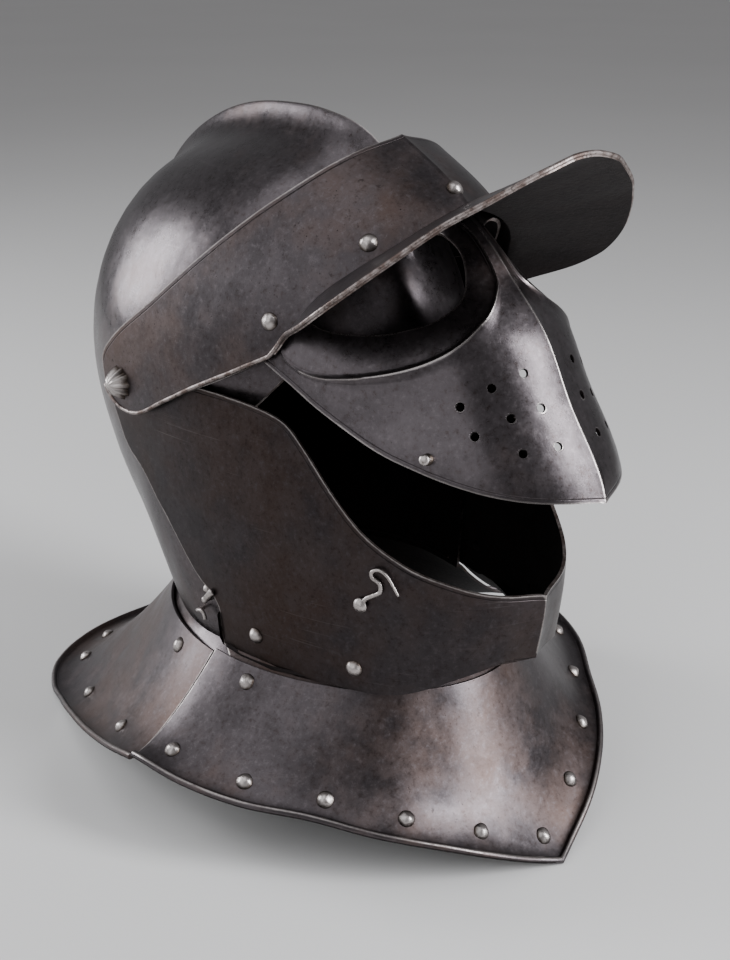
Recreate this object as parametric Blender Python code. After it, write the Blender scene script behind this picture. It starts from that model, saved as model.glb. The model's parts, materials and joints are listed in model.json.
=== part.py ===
"""A savoyard close helmet: skull with comb, bevor, visor, peak and a two-plate gorget with rolled rims.

The helmet faces -Y, the wearer's left is +X, and it stands on the rims of its gorget.
Bevor, visor and peak all turn on two rosettes, so their plates are described about that axis:
an angle is measured about it from straight ahead, upwards, and a turn runs from 0 degrees
at the rosette to 90 degrees on the medial line.
"""

import bpy
import bmesh
from bisect import bisect_right
from math import atan2, cos, degrees, exp, hypot, pi, radians, sin
from mathutils import Matrix, Vector
from mathutils.bvhtree import BVHTree

MM = 0.001
MEDIAL = 90

# Where the rosettes' axis runs
PIVOT_HEIGHT = 225 * MM
PIVOT_BACK = 52.1 * MM

# Sheet and clearances
SKULL_WALL = 2 * MM
PLATE_WALL = 1.8 * MM
LAYER_GAP = 0.8 * MM
SEAT_GAP = 0.3 * MM

# Skull
SKULL_HALF_WIDTH = 90 * MM
SKULL_RADIUS = 124 * MM
COMB_HEIGHT = 19 * MM
COMB_SPREAD = 6 * MM

# Reach of each plate from the rosettes' axis, on the medial line
BEVOR_STANDOFF = 118 * MM
VISOR_STANDOFF = 8 * MM
PEAK_STANDOFF = 66 * MM
BEVOR_REACH = SKULL_RADIUS + BEVOR_STANDOFF
VISOR_REACH = BEVOR_REACH + VISOR_STANDOFF
PEAK_REACH = SKULL_RADIUS + PEAK_STANDOFF
BEVOR_KEEL = 2.5 * MM
VISOR_KEEL = 2 * MM
PEAK_KEEL = 2 * MM
KEEL_SPREAD = 9 * MM
SOCKET_DEPTH = 4 * MM

# Brim of the peak, from its fold
BRIM_LENGTH = 70 * MM
BRIM_RISE = 31 * MM

# Neck and gorget
NECK_EASE = 1 * MM
NECK_HALF_WIDTH = SKULL_HALF_WIDTH + NECK_EASE
# The neck's drop, middle and half length and the gorget's reach, as shares of the skull's radius
NECK_HEIGHT = PIVOT_HEIGHT - 1.1048 * SKULL_RADIUS
NECK_FORWARD = 0.5484 * SKULL_RADIUS
NECK_HALF_LENGTH = 0.9194 * SKULL_RADIUS
THROAT_INSET = 5 * MM
NECK_FLANGE = 9 * MM
FLANGE_DEPTH = 2.8 * MM
GORGET_REACH = 1.3484 * SKULL_RADIUS
SHOULDER_HEIGHT = 44 * MM
RIM_BEAD = 2 * MM
SEAM_LIFT = 2.6 * MM

# Pivots and rivets
PIVOT_SHANK = 3.5 * MM
ROSETTE_RADIUS = 9.5 * MM
ROSETTE_HEIGHT = 8 * MM
ROSETTE_FLUTES = 10
RIVET_HEAD = 4.4 * MM
RIVET_RISE = 2.9 * MM
SMALL_HEAD = 2.6 * MM
SMALL_RISE = 1.8 * MM
RIVET_SHANK = 1.5 * MM
RIVET_TAIL = 0.8 * MM
TAIL_RADIUS = 2.7 * MM
SEARCH = 9 * MM
DRILL_REACH = 6 * MM
HOLE_CLEARANCE = 0.4 * MM
BREATH_RADIUS = 2 * MM

# Hook and neck pin
HOOK_WIRE = 1.1 * MM
HOOK_REACH = 21 * MM
STUD_LENGTH = 6 * MM
PIN_SHANK = 1.8 * MM
PIN_BAR = 11 * MM
# The neck's fittings, forward and up from the lower rear corner of the bevor's cheek
PIN_FROM_CORNER = (-7 * MM, -2.6 * MM)
STUD_FROM_CORNER = (-10.8 * MM, 1 * MM)
CATCH_FROM_CORNER = (-16.7 * MM, -13.1 * MM)

# How many pieces a curve is cut into
SKULL_SECTIONS = 24
RIVET_SIDES = 7

# Every outline below runs from the medial line to the arm, as (angle, turn) in degrees.
BEVOR_RIM_FRONT = ((-19.6, 90), (-19.5, 78), (-19.4, 64), (-18.9, 53.6), (-16.6, 45.8), (-12.5, 42.2), (-6.3, 39.7))
BEVOR_RIM_ARM = ((-6.3, 39.7), (0, 36.7), (3.3, 31.3), (6.3, 24.2), (10, 17), (18, 10), (40, 6), (90, 4.4), (165, 4.4))
BEVOR_CHIN = ((-28.1, 90), (-28.7, 79), (-32.4, 66.8), (-37.7, 54.9), (-43.7, 42), (-50, 33), (-60, 22.7))
BEVOR_BACK = ((-60, 22.7), (-58.8, 18.6), (-61.9, 15.5), (-66.7, 10.8), (-72.3, 8.2), (-82, 5.9), (-100, 5.3),
              (-130, 5), (-165, 4.6))
PEAK_TOP = ((49.6, 90), (49.5, 67), (50.2, 52), (53.1, 34.9), (58.2, 23.7), (67.1, 16.4), (84, 11.4), (110, 8.4),
            (150, 7.2))
PEAK_FOLD = ((33.8, 90), (32.2, 76), (30.8, 66), (29.6, 57), (27.4, 47.5), (23, 40.5), (18.2, 35.4))
PEAK_UNDER = ((18.2, 35.4), (16.3, 29.3), (11.8, 20.6), (5, 14.8), (-8, 10.2), (-32, 7.4), (-70, 5.5), (-110, 5),
              (-165, 5.6))
VISOR_ARM_UNDER = ((17.3, 34.2), (13, 25), (7, 17), (-3, 11), (-25, 7), (-60, 5.2), (-110, 4.8), (-165, 4.8))
VISOR_ARM_TOP = ((33, 36), (38, 28), (46, 20), (58, 13), (80, 8), (115, 5.6), (165, 5))

# The visor's half, as spokes from its eye opening: the edge of the opening, the crease round it, the plate's edge.
VISOR_SPOKES = (
    ((30.5, 81.6), (30.8, 86.8), (31, 90)),
    ((27.3, 81.8), (27, 87), (27, 90)),
    ((22.9, 77.8), (22.2, 85.8), (21, 90)),
    ((20.6, 73.1), (19.8, 82.4), (14, 90)),
    ((19.3, 67.5), (17.8, 77.8), (5, 90)),
    ((18.6, 63.5), (16.5, 73.5), (-4.2, 90)),
    ((18.4, 60), (15, 68.5), (-3.8, 78)),
    ((18.3, 56.7), (13.6, 63), (-3.6, 67.5)),
    ((18.7, 52.7), (12.5, 57.6), (-3.1, 58.9)),
    ((19.9, 48.8), (11.8, 52.2), (-1.9, 51.5)),
    ((21.4, 46.4), (11.6, 47.4), (0.4, 45)),
    ((23.2, 44.8), (12, 42.6), (5.7, 39.6)),
    ((25.4, 44), (14.2, 39.4), (11.5, 36.6)),
    ((27.8, 44.8), (20, 38.5), (17.3, 34.2)),
    ((30, 48), (31.5, 42), (33, 36)),
    ((31.4, 55), (34, 55), (37, 55)),
    ((32, 65), (34.2, 66), (37, 67)),
    ((31.9, 75), (34.2, 77), (37, 79)),
    ((31.4, 79.8), (34, 84), (37, 90)),
)
VISOR_CORNERS = (5, 13, 14, 18)
SOCKET_SHARES = (1, 1, 1, 1, 1, 1, 1, 1, 1, 1, 1, 1, 0.8, 0.4, 0.1, 0, 0, 0.1, 0.6)
BREATHS = ((7, 63.2), (9, 70.8), (10.2, 79.8), (3.4, 63.7), (5.3, 72.8), (6, 81.4), (1.5, 72), (1.9, 81.5))
STUD_PLACE = (0.1, 53.8)
PEAK_RIVETS = ((32.9, 61.9), (26.2, 37.4))
PEAK_CENTRE_RIVET = (36.5, 90)
BEVOR_RIVETS = ((-51.7, 26.4), (-38.6, 45.9))
HOOK_PLACE = (-28.3, 46.5)

# The brim's edge, from the tip to where it dies into the fold: shares of its length forward of the fold's
# foremost place, of the skull's half width and of its rise.
BRIM_EDGE = (
    # forward, aside, up
    (1, 0, 1),
    (0.997, 0.084, 0.985),
    (0.985, 0.238, 0.877),
    (0.93, 0.342, 0.748),
    (0.793, 0.557, 0.419),
    (0.664, 0.704, 0.155),
    (0.499, 0.864, -0.245),
    (0.291, 1.013, -0.71),
    (0.074, 1.09, -1.123),
    (-0.09, 1.079, -1.368),
    (-0.244, 1.045, -1.555),
    (-0.371, 1.013, -1.735),
    (-0.557, 0.95, -1.984),
    (-0.729, 0.883, -2.26),
)

# The gorget round the neck: bearing in degrees from straight ahead, reach and height as shares.
GORGET_RIM = (
    # bearing, share of the reach, share of the shoulder's height
    (0, 1, 0),
    (5.2, 0.972, 0.11),
    (13.9, 0.945, 0.33),
    (23.2, 0.914, 0.52),
    (35, 0.878, 0.68),
    (48, 0.846, 0.82),
    (61.9, 0.86, 0.91),
    (76, 0.865, 0.98),
    (89, 0.864, 1),
    (100, 0.86, 0.83),
    (114, 0.875, 0.57),
    (128.9, 0.943, 0.32),
    (140.5, 1.043, 0.11),
    (147, 1.129, 0.02),
    (155.2, 1.212, 0),
    (167, 1.256, 0),
    (180, 1.256, 0),
)
GORGET_HOLLOW = 1.45
SEAM_BEARING = 90
FRONT_LINING = (0, 13.9, 29.5, 46.5, 64.2, 83.5)
REAR_LINING = (108.3, 138, 155.2, 164.5)
GORGET_ROWS = 4
LINING_SHARE = 0.8
NECK_RIVET_BEARINGS = (75.5, 106.7)
NECK_RIVET_SHARE = 0.11


def smooth(share):
    share = min(max(share, 0), 1)
    return share * share * (3 - 2 * share)


def curve_value(table, x):
    """A smooth curve through the table's (x, y) pairs, read at x."""
    xs = [row[0] for row in table]
    ys = [row[1] for row in table]
    last = len(xs) - 1
    if x <= xs[0]:
        return ys[0]
    if x >= xs[last]:
        return ys[last]

    def slope(i):
        before, after = max(i - 1, 0), min(i + 1, last)
        return (ys[after] - ys[before]) / (xs[after] - xs[before])

    i = bisect_right(xs, x) - 1
    width = xs[i + 1] - xs[i]
    t = (x - xs[i]) / width
    rise = 3 * t * t - 2 * t ** 3
    start = (t ** 3 - 2 * t * t + t) * width * slope(i)
    end = (t ** 3 - t * t) * width * slope(i + 1)
    return ys[i] * (1 - rise) + ys[i + 1] * rise + start + end


class Dome:
    """The outer face of a plate that turns about the rosettes' axis."""

    def __init__(self, half_width, reach, profile, medial=None, arm=None, fullness=((-180, 2), (180, 2)), keel=0):
        self.half_width = half_width
        self.reach = reach
        self.profile = profile
        self.medial = medial or profile
        self.arm = arm or profile
        self.fullness = fullness
        self.keel = keel

    def point(self, angle, turn, side, sink=0):
        """A place on the plate, or sink below it."""
        wrapped = (angle + 180) % 360 - 180
        power = 2 / curve_value(self.fullness, wrapped)
        radius = self.reach * curve_value(self.profile, wrapped)
        medial = self.reach * curve_value(self.medial, wrapped)
        arm = self.reach * curve_value(self.arm, wrapped)
        radius += (medial - radius) * smooth((turn - 32) / 35) + (arm - radius) * smooth((38 - turn) / 14)
        across = max(cos(radians(turn)), 0) ** power
        aside = (self.half_width - sink) * across
        out = (radius - sink) * sin(radians(turn)) ** power
        out += self.keel * exp(-aside / KEEL_SPREAD) * smooth((turn - 50) / 30)
        return place(out * cos(radians(angle)), out * sin(radians(angle)), side * aside)

    def outward(self, angle, turn, side):
        """The plate's outward direction at a place."""
        if turn >= MEDIAL:
            return Vector((0, -cos(radians(angle)), sin(radians(angle))))
        step = 0.4
        along = self.point(angle + step, turn, side) - self.point(angle - step, turn, side)
        aside = self.point(angle, turn + step, side) - self.point(angle, turn - step, side)
        normal = along.cross(aside).normalized()
        here = self.point(angle, turn, side) - place(0, 0, 0)
        return normal if normal.dot(here) > 0 else -normal


def place(forward, up, aside):
    """A place given from the middle of the rosettes' axis."""
    return Vector((aside, PIVOT_BACK - forward, PIVOT_HEIGHT + up))


BEVOR_HALF_WIDTH = SKULL_HALF_WIDTH + LAYER_GAP + PLATE_WALL
VISOR_HALF_WIDTH = BEVOR_HALF_WIDTH + LAYER_GAP + PLATE_WALL
PEAK_HALF_WIDTH = VISOR_HALF_WIDTH + LAYER_GAP + PLATE_WALL

SKULL = Dome(
    SKULL_HALF_WIDTH,
    SKULL_RADIUS,
    ((-180, 0.895), (-160, 0.9), (-140, 0.94), (-125, 1.02), (-115, 1.08), (-106, 1.15), (-98, 1.27), (-90, 1.47),
     (-80, 1.85), (-69, 2.35), (-55, 2.1), (-40, 1.7), (-30, 1.45), (-15, 1.23), (0, 1.1), (15, 1.145), (27, 1.15),
     (45, 1.137), (57, 1.113), (67, 1.06), (80, 1), (96, 0.957), (115, 0.952), (135, 0.935), (155, 0.915),
     (180, 0.895)),
    fullness=((-180, 2), (-125, 2), (-108, 2.08), (-95, 2.2), (-80, 2.4), (-68, 2.5), (-30, 2.45), (0, 2.1),
              (27, 2), (180, 2)),
)
COMB = ((-170, 0), (-150, 0), (31, 0), (40, 0.55), (49, 0.97), (60, 1), (80, 0.92), (96, 0.88), (113, 0.66),
        (134, 0.52), (155, 0.3), (172, 0.05), (180, 0))
BEVOR = Dome(
    BEVOR_HALF_WIDTH,
    BEVOR_REACH,
    ((-180, 0.83), (-120, 1), (-90, 1.36), (-66, 1.45), (-60, 1.4), (-45, 1.157), (-33, 1.022), (-28.4, 0.99),
     (-20, 0.948), (-16, 0.92), (-12, 0.868), (-7, 0.81), (0, 0.76), (9, 0.728), (30, 0.722), (90, 0.72),
     (180, 0.72)),
    fullness=((-180, 2), (-90, 2.3), (-50, 2.3), (-28, 2.1), (-15, 2), (180, 2)),
    keel=BEVOR_KEEL,
)
VISOR = Dome(
    VISOR_HALF_WIDTH,
    VISOR_REACH,
    ((-180, 0.68), (-30, 1), (-4, 0.952), (5, 0.848), (12, 0.778), (17.4, 0.739), (26, 0.714), (33, 0.7),
     (38, 0.7), (60, 0.68), (180, 0.68)),
    medial=((-180, 0.68), (-30, 1.04), (-20, 1.028), (-4.2, 0.995), (5.8, 0.901), (14.2, 0.854), (21.5, 0.8),
            (26, 0.776), (30, 0.752), (34, 0.722), (38, 0.704), (60, 0.68), (180, 0.68)),
    arm=((-180, 0.64), (-90, 0.64), (-30, 0.69), (0, 0.735), (17.4, 0.738), (26, 0.718), (38, 0.69), (49.7, 0.675),
         (70, 0.65), (110, 0.64), (180, 0.64)),
    keel=VISOR_KEEL,
)
PEAK = Dome(
    PEAK_HALF_WIDTH,
    PEAK_REACH,
    ((-180, 0.85), (-90, 0.85), (-30, 0.91), (0, 0.98), (20, 1.01), (32, 0.992), (49.7, 0.9), (70, 0.86),
     (110, 0.85), (180, 0.85)),
    keel=PEAK_KEEL,
)


def clear_scene():
    for thing in list(bpy.data.objects):
        bpy.data.objects.remove(thing, do_unlink=True)


def steel(name, colour, roughness):
    """A dark steel, patinated and waxed."""
    material = bpy.data.materials.new(name)
    material.use_nodes = True
    shader = material.node_tree.nodes["Principled BSDF"]
    shader.inputs["Base Color"].default_value = (*colour, 1)
    shader.inputs["Metallic"].default_value = 1
    shader.inputs["Roughness"].default_value = roughness
    material.diffuse_color = (*colour, 1)
    return material


def add_object(name, mesh, material, smooth_angle=35):
    mesh.materials.append(material)
    mesh.shade_smooth()
    mesh.set_sharp_from_angle(angle=radians(smooth_angle))
    thing = bpy.data.objects.new(name, mesh)
    bpy.context.collection.objects.link(thing)
    return thing


def mesh_from(name, points, faces):
    """A closed mesh with coinciding points joined and its faces turned outwards."""
    shape = bmesh.new()
    made = [shape.verts.new(point) for point in points]
    for face in faces:
        shape.faces.new([made[i] for i in face])
    bmesh.ops.remove_doubles(shape, verts=shape.verts, dist=1e-6)
    bmesh.ops.dissolve_degenerate(shape, edges=shape.edges, dist=1e-6)
    bmesh.ops.recalc_face_normals(shape, faces=shape.faces)
    if shape.calc_volume(signed=True) < 0:
        bmesh.ops.reverse_faces(shape, faces=shape.faces)
    mesh = bpy.data.meshes.new(name)
    shape.to_mesh(mesh)
    shape.free()
    return mesh


def open_sheet(name, points, faces, outward_from):
    """An open mesh whose faces look away from a place inside the helmet."""
    mesh = mesh_from(name, points, faces)
    facing = sum((face.center - outward_from).dot(face.normal) * face.area for face in mesh.polygons)
    if facing < 0:
        mesh.flip_normals()
    return mesh


def grid_faces(rows, columns, first=0):
    """Quads between the points of a grid that is stored row by row."""
    faces = []
    for row in range(rows - 1):
        for column in range(columns - 1):
            corner = first + row * columns + column
            faces.append((corner, corner + 1, corner + columns + 1, corner + columns))
    return faces


def thicken(thing, wall):
    """Gives a sheet its wall, inwards."""
    solid = thing.modifiers.new("wall", "SOLIDIFY")
    solid.thickness = wall
    solid.offset = -1
    solid.use_even_offset = True
    solid.use_rim = True


def cut(thing, cutter, operation="DIFFERENCE"):
    """Cuts a hidden shape out of a piece, or joins it on."""
    cutter.hide_render = True
    cutter.display_type = "WIRE"
    boolean = thing.modifiers.new("cut", "BOOLEAN")
    boolean.operation = operation
    boolean.solver = "EXACT"
    boolean.object = cutter
    return boolean


def turned_rows(profile, sides, origin, axis, flutes=0, flute_depth=0):
    """Rings of points about an axis, one for each (radius, height) of the profile."""
    turn = axis.to_track_quat("Z", "Y").to_matrix()
    rows = []
    for radius, height in profile:
        ring = []
        for k in range(sides):
            bearing = 2 * pi * k / sides
            shrink = 1 - flute_depth * (0.5 - 0.5 * cos(flutes * bearing)) if flutes else 1
            local = Vector((radius * shrink * cos(bearing), radius * shrink * sin(bearing), height))
            ring.append(origin + turn @ local)
        rows.append(ring)
    return rows


def turned_shape(profile, sides, origin, axis, first=0, flutes=0, flute_depth=0):
    """Points and faces of a closed turned shape, whose profile starts and ends on the axis."""
    points, faces = [], []
    for ring in turned_rows(profile, sides, origin, axis, flutes, flute_depth):
        points.extend(ring)
    for row in range(len(profile) - 1):
        for k in range(sides):
            after = (k + 1) % sides
            low, high = first + row * sides, first + (row + 1) * sides
            faces.append((low + k, low + after, high + after, high + k))
    return points, faces


def turned(name, profile, sides, origin, axis, material, flutes=0, flute_depth=0):
    points, faces = turned_shape(profile, sides, origin, axis, 0, flutes, flute_depth)
    return add_object(name, mesh_from(name, points, faces), material, 50)


def rivet_profile(head, rise, grip):
    """Half the section of a domed rivet that grips a wall: head, shank and a short upset tail."""
    return (
        (0, rise),
        (head * 0.72, rise * 0.7),
        (head, SEAT_GAP),
        (RIVET_SHANK, SEAT_GAP),
        (RIVET_SHANK, -grip - SEAT_GAP),
        (min(head * 0.75, TAIL_RADIUS), -grip - SEAT_GAP),
        (0, -grip - SEAT_GAP - RIVET_TAIL),
    )


def hole_drills(name, holes):
    """One hidden mesh of drills, from (place, outward direction, radius) rows."""
    points, faces = [], []
    for origin, axis, radius in holes:
        wide = radius / cos(pi / RIVET_SIDES)
        profile = ((0, DRILL_REACH), (wide, DRILL_REACH), (wide, -DRILL_REACH), (0, -DRILL_REACH))
        more, their_faces = turned_shape(profile, RIVET_SIDES, origin, axis, len(points))
        points.extend(more)
        faces.extend(their_faces)
    drills = bpy.data.objects.new(name, mesh_from(name, points, faces))
    bpy.context.collection.objects.link(drills)
    return drills


def seat(plates, spot, axis, radius):
    """Where a fastener sits: level with the highest outside under its head, and how deep it has to grip."""
    scene = bpy.context.evaluated_depsgraph_get()
    outer, inner = (BVHTree.FromObject(plate, scene) for plate in (plates[0], plates[-1]))
    turn = axis.to_track_quat("Z", "Y").to_matrix()
    high, low = [], []
    for k in range(9):
        reach = radius if k < 8 else 0
        offset = turn @ Vector((reach * cos(k * pi / 4), reach * sin(k * pi / 4), 0))
        start = spot + offset + axis * SEARCH
        hit = outer.ray_cast(start, -axis, 2 * SEARCH)[0]
        if hit is None:
            continue
        high.append((hit - spot).dot(axis))
        reach_in = SEARCH
        last = hit
        while reach_in > 0:
            beyond = inner.ray_cast(last - axis * 0.1 * MM, -axis, reach_in)[0]
            if beyond is None:
                break
            reach_in -= (last - beyond).length
            last = beyond
        low.append((last - spot).dot(axis))
    return spot + axis * max(high), max(high) - min(low)


def rivet(name, plates, spot, axis, material, drills, head, rise):
    """A rivet through one plate, or through one over another, and the hole for it in each of them."""
    origin, grip = seat(plates, spot, axis, head)
    for plate in plates:
        drills[plate.name].append((origin, axis, RIVET_SHANK + HOLE_CLEARANCE))
    return turned(name, rivet_profile(head, rise, grip), RIVET_SIDES, origin, axis, material)


def chart(spot):
    angle, turn = spot
    return turn * cos(radians(angle)), turn * sin(radians(angle))


def outline(spots, pieces):
    """Evenly spaced spots on a smooth line through the given ones, from their last to their first."""
    spots = spots[::-1]
    flat = [chart(spot) for spot in spots]
    run = [0]
    for before, after in zip(flat, flat[1:]):
        run.append(run[-1] + hypot(after[0] - before[0], after[1] - before[1]))
    unwound = [spots[0][0]]
    for angle, _ in spots[1:]:
        unwound.append(unwound[-1] + (angle - unwound[-1] + 180) % 360 - 180)
    found = []
    for k in range(pieces + 1):
        at = run[-1] * k / pieces
        angle = curve_value(list(zip(run, unwound)), at)
        turn = curve_value(list(zip(run, (spot[1] for spot in spots))), at)
        found.append((angle, turn))
    return found


def between(one, other, share):
    """A spot a share of the way from one to the other, kept on the medial line where both are."""
    x0, y0 = chart(one)
    x1, y1 = chart(other)
    x, y = x0 + (x1 - x0) * share, y0 + (y1 - y0) * share
    straight = hypot(x, y)
    even = one[1] + (other[1] - one[1]) * share
    keep = smooth((min(one[1], other[1]) - 35) / 35)
    return degrees(atan2(y, x)), straight + (even - straight) * keep


def both_sides(half_row):
    """A row of (right-hand point, left-hand point) pairs from the arm to the medial line, made whole."""
    right = [pair[0] for pair in half_row]
    left = [pair[1] for pair in half_row[:-1]]
    return right + left[::-1]


def pair_on(dome, spot, sink=0):
    return dome.point(*spot, -1, sink), dome.point(*spot, 1, sink)


def neck_spot(bearing, inset=0, lift=0):
    """A place on the neck line, inset towards the neck and lifted."""
    x = NECK_HALF_WIDTH * sin(radians(bearing))
    y = NECK_HALF_LENGTH * cos(radians(bearing))
    size = hypot(x, y)
    keep = (size - inset) / size
    return place(NECK_FORWARD + y * keep, NECK_HEIGHT - PIVOT_HEIGHT + lift, x * keep)


def gorget_spot(bearing, share, raise_by=0):
    """A place on the gorget's outer face: share 0 at the neck and 1 at the rim, on a hollow slope."""
    inner = neck_spot(bearing)
    aside = abs((bearing + 180) % 360 - 180)
    reach = GORGET_REACH * curve_value([row[:2] for row in GORGET_RIM], aside)
    height = SHOULDER_HEIGHT * curve_value([(row[0], row[2]) for row in GORGET_RIM], aside)
    rim = place(
        NECK_FORWARD + reach * cos(radians(bearing)),
        max(height, 0) + RIM_BEAD - PIVOT_HEIGHT,
        reach * sin(radians(bearing)),
    )
    spot = inner.lerp(rim, share)
    drop = 1 - (1 - share) ** GORGET_HOLLOW
    spot.z = inner.z + (rim.z - inner.z) * drop + raise_by * smooth(aside / 60)
    return spot


def under_gorget(bearing, reach, raise_by):
    """A place under the gorget, a reach down its topmost facet from the neck line."""
    top = gorget_spot(bearing, 0, raise_by)
    slope = (gorget_spot(bearing, 1 / GORGET_ROWS, raise_by) - top).normalized()
    along = gorget_spot(bearing + 1, 0, raise_by) - gorget_spot(bearing - 1, 0, raise_by)
    normal = along.cross(slope).normalized()
    if normal.z < 0:
        normal = -normal
    return top + slope * reach - normal * FLANGE_DEPTH


def gorget_outward(bearing, share):
    step = 0.02
    low, high = max(share - step, 0), min(share + step, 1)
    down = gorget_spot(bearing, high) - gorget_spot(bearing, low)
    along = gorget_spot(bearing + 1, share) - gorget_spot(bearing - 1, share)
    normal = along.cross(down).normalized()
    return normal if normal.z > 0 else -normal


def rimmed_plate(name, rows, wall, bead, material):
    """A plate from rows of outer points, neck to rim, with a bead rolled round the last row."""
    columns = len(rows[0])
    normals = []
    for r, row in enumerate(rows):
        line = []
        for c in range(columns):
            across = row[min(c + 1, columns - 1)] - row[max(c - 1, 0)]
            down = rows[min(r + 1, len(rows) - 1)][c] - rows[max(r - 1, 0)][c]
            normal = across.cross(down).normalized()
            line.append(normal if normal.z > 0 else -normal)
        normals.append(line)
    inner = [[p - n * wall for p, n in zip(row, line)] for row, line in zip(rows, normals)]
    beads = [[] for _ in range(5)]
    for c in range(columns):
        rim = rows[-1][c]
        out = rim - rows[-2][c]
        out.z = 0
        out.normalize()
        up = Vector((0, 0, 1))
        middle = rim + out * (bead * 0.9)
        for line, (outwards, upwards) in zip(beads, ((-0.1, 1), (0.75, 0.7), (1, -0.2), (0.45, -1), (-0.45, -1))):
            line.append(middle + out * bead * outwards + up * bead * upwards)
    loops = rows + beads + inner[::-1]
    points = [point for loop in loops for point in loop]
    faces = grid_faces(len(loops), columns)
    last = (len(loops) - 1) * columns
    for c in range(columns - 1):
        faces.append((last + c, last + c + 1, c + 1, c))
    count = len(rows)
    for c in (0, columns - 1):
        for r in range(count - 1):
            outer, inside = r * columns + c, (len(loops) - 1 - r) * columns + c
            faces.append((outer, outer + columns, inside - columns, inside))
        faces.append([(count - 1 + k) * columns + c for k in range(len(beads) + 2)])
    return add_object(name, mesh_from(name, points, faces), material)


def build_skull(material):
    """The bowl, closed at first, with the face and the neck cut out of it and a flange at the neck."""
    turns = (0, 16, 31, 45, 57, 68, 77, 83.5, 87.5)
    points, faces = [], []
    for inner in (False, True):
        sink = SKULL_WALL if inner else 0
        first = len(points)
        ring = 2 * len(turns) - 1
        for k in range(SKULL_SECTIONS):
            angle = -180 + 360 * k / SKULL_SECTIONS
            comb = COMB_HEIGHT * curve_value(COMB, angle)
            spread = COMB_SPREAD * 0.75 if inner else COMB_SPREAD
            row = []
            for turn in (*turns, MEDIAL):
                pair = []
                for side in (-1, 1):
                    spot = SKULL.point(angle, turn, side, sink)
                    crest = max(comb - sink, 0) if inner else comb
                    crest *= exp(-abs(spot.x) / spread) * smooth((turn - 65) / 15)
                    outward = Vector((0, -cos(radians(angle)), sin(radians(angle))))
                    pair.append(spot + outward * crest)
                row.append(pair)
            points.extend(both_sides(row))
        width = ring + 2
        for k in range(SKULL_SECTIONS):
            here, there = first + k * width, first + (k + 1) % SKULL_SECTIONS * width
            for c in range(width - 1):
                face = (here + c, here + c + 1, there + c + 1, there + c)
                faces.append(face[::-1] if inner else face)
    shape = bmesh.new()
    made = [shape.verts.new(point) for point in points]
    for face in faces:
        shape.faces.new([made[i] for i in face])
    bmesh.ops.remove_doubles(shape, verts=shape.verts, dist=1e-6)
    bmesh.ops.dissolve_degenerate(shape, edges=shape.edges, dist=1e-6)
    mesh = bpy.data.meshes.new("skull")
    shape.to_mesh(mesh)
    shape.free()
    crown = max(mesh.polygons, key=lambda face: face.center.z)
    if crown.normal.z < 0:
        mesh.flip_normals()
    skull = add_object("skull", mesh, material)
    cut(skull, face_opening())
    cut(skull, neck_opening())
    cut(skull, skull_flange(skull), "UNION")
    return skull


# The edge of the skull's face opening seen from the side: forward and up from the rosettes, as shares
# of the skull's radius.
FACE_EDGE = ((1, 0.29), (0.87, 0.28), (0.77, 0.13), (0.67, 0.01), (0.6, -0.14), (0.62, -0.45), (0.66, -0.8), (0.66, -1.3))


def prism(name, side_view, half_width):
    """A closed block with an outline given in the side view."""
    count = len(side_view)
    points = [place(f, u, side * half_width) for side in (-1, 1) for f, u in side_view]
    faces = [tuple(range(count)), tuple(range(2 * count - 1, count - 1, -1))]
    for k in range(count):
        after = (k + 1) % count
        faces.append((k, after, count + after, count + k))
    block = bpy.data.objects.new(name, mesh_from(name, points, faces))
    bpy.context.collection.objects.link(block)
    return block


def face_opening():
    edge = [(f * SKULL_RADIUS, u * SKULL_RADIUS) for f, u in FACE_EDGE]
    far = 4 * SKULL_RADIUS
    return prism("face_cutter", [(far, edge[0][1]), *edge, (edge[-1][0], -far), (far, -far)], far)


def neck_opening():
    top = NECK_HEIGHT - PIVOT_HEIGHT + 1 * MM
    far = 4 * SKULL_RADIUS
    return prism("neck_cutter", [(-far, top), (far, top), (far, -far), (-far, -far)], far)


def skull_flange(skull):
    """A curved strip under the rear gorget plate, rooted in the foot of the skull's wall."""
    start, pieces = SEAM_BEARING + 4, 24
    tree = BVHTree.FromObject(skull, bpy.context.evaluated_depsgraph_get())
    middle = place(NECK_FORWARD, NECK_HEIGHT - PIVOT_HEIGHT + 3.5 * MM, 0)
    root, shoulder, foot = [], [], []
    for k in range(pieces + 1):
        bearing = start + (360 - 2 * start) * k / pieces
        goal = neck_spot(bearing) - neck_spot(bearing, 10 * MM)
        away = Vector((goal.x, goal.y, 0)).normalized()
        root.append(tree.ray_cast(middle, away)[0] + away * SKULL_WALL * 0.4)
        shoulder.append(under_gorget(bearing, 1.5 * MM, 0))
        foot.append(under_gorget(bearing, NECK_FLANGE, 0))
    rows = [root, shoulder, foot]
    points = [point for row in rows for point in row]
    points += [point - Vector((0, 0, SKULL_WALL * 1.2)) for row in rows for point in row]
    columns, half = pieces + 1, len(rows) * (pieces + 1)
    faces = grid_faces(len(rows), columns)
    faces += [face[::-1] for face in grid_faces(len(rows), columns, half)]
    edge = list(range(columns))
    edge += [r * columns + columns - 1 for r in range(1, len(rows))]
    edge += [(len(rows) - 1) * columns + c for c in range(columns - 2, -1, -1)]
    edge += [r * columns for r in range(len(rows) - 2, 0, -1)]
    for one, other in zip(edge, edge[1:] + edge[:1]):
        faces.append((one, other, half + other, half + one))
    strip = bpy.data.objects.new("flange_strip", mesh_from("flange_strip", points, faces))
    bpy.context.collection.objects.link(strip)
    return strip


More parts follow.
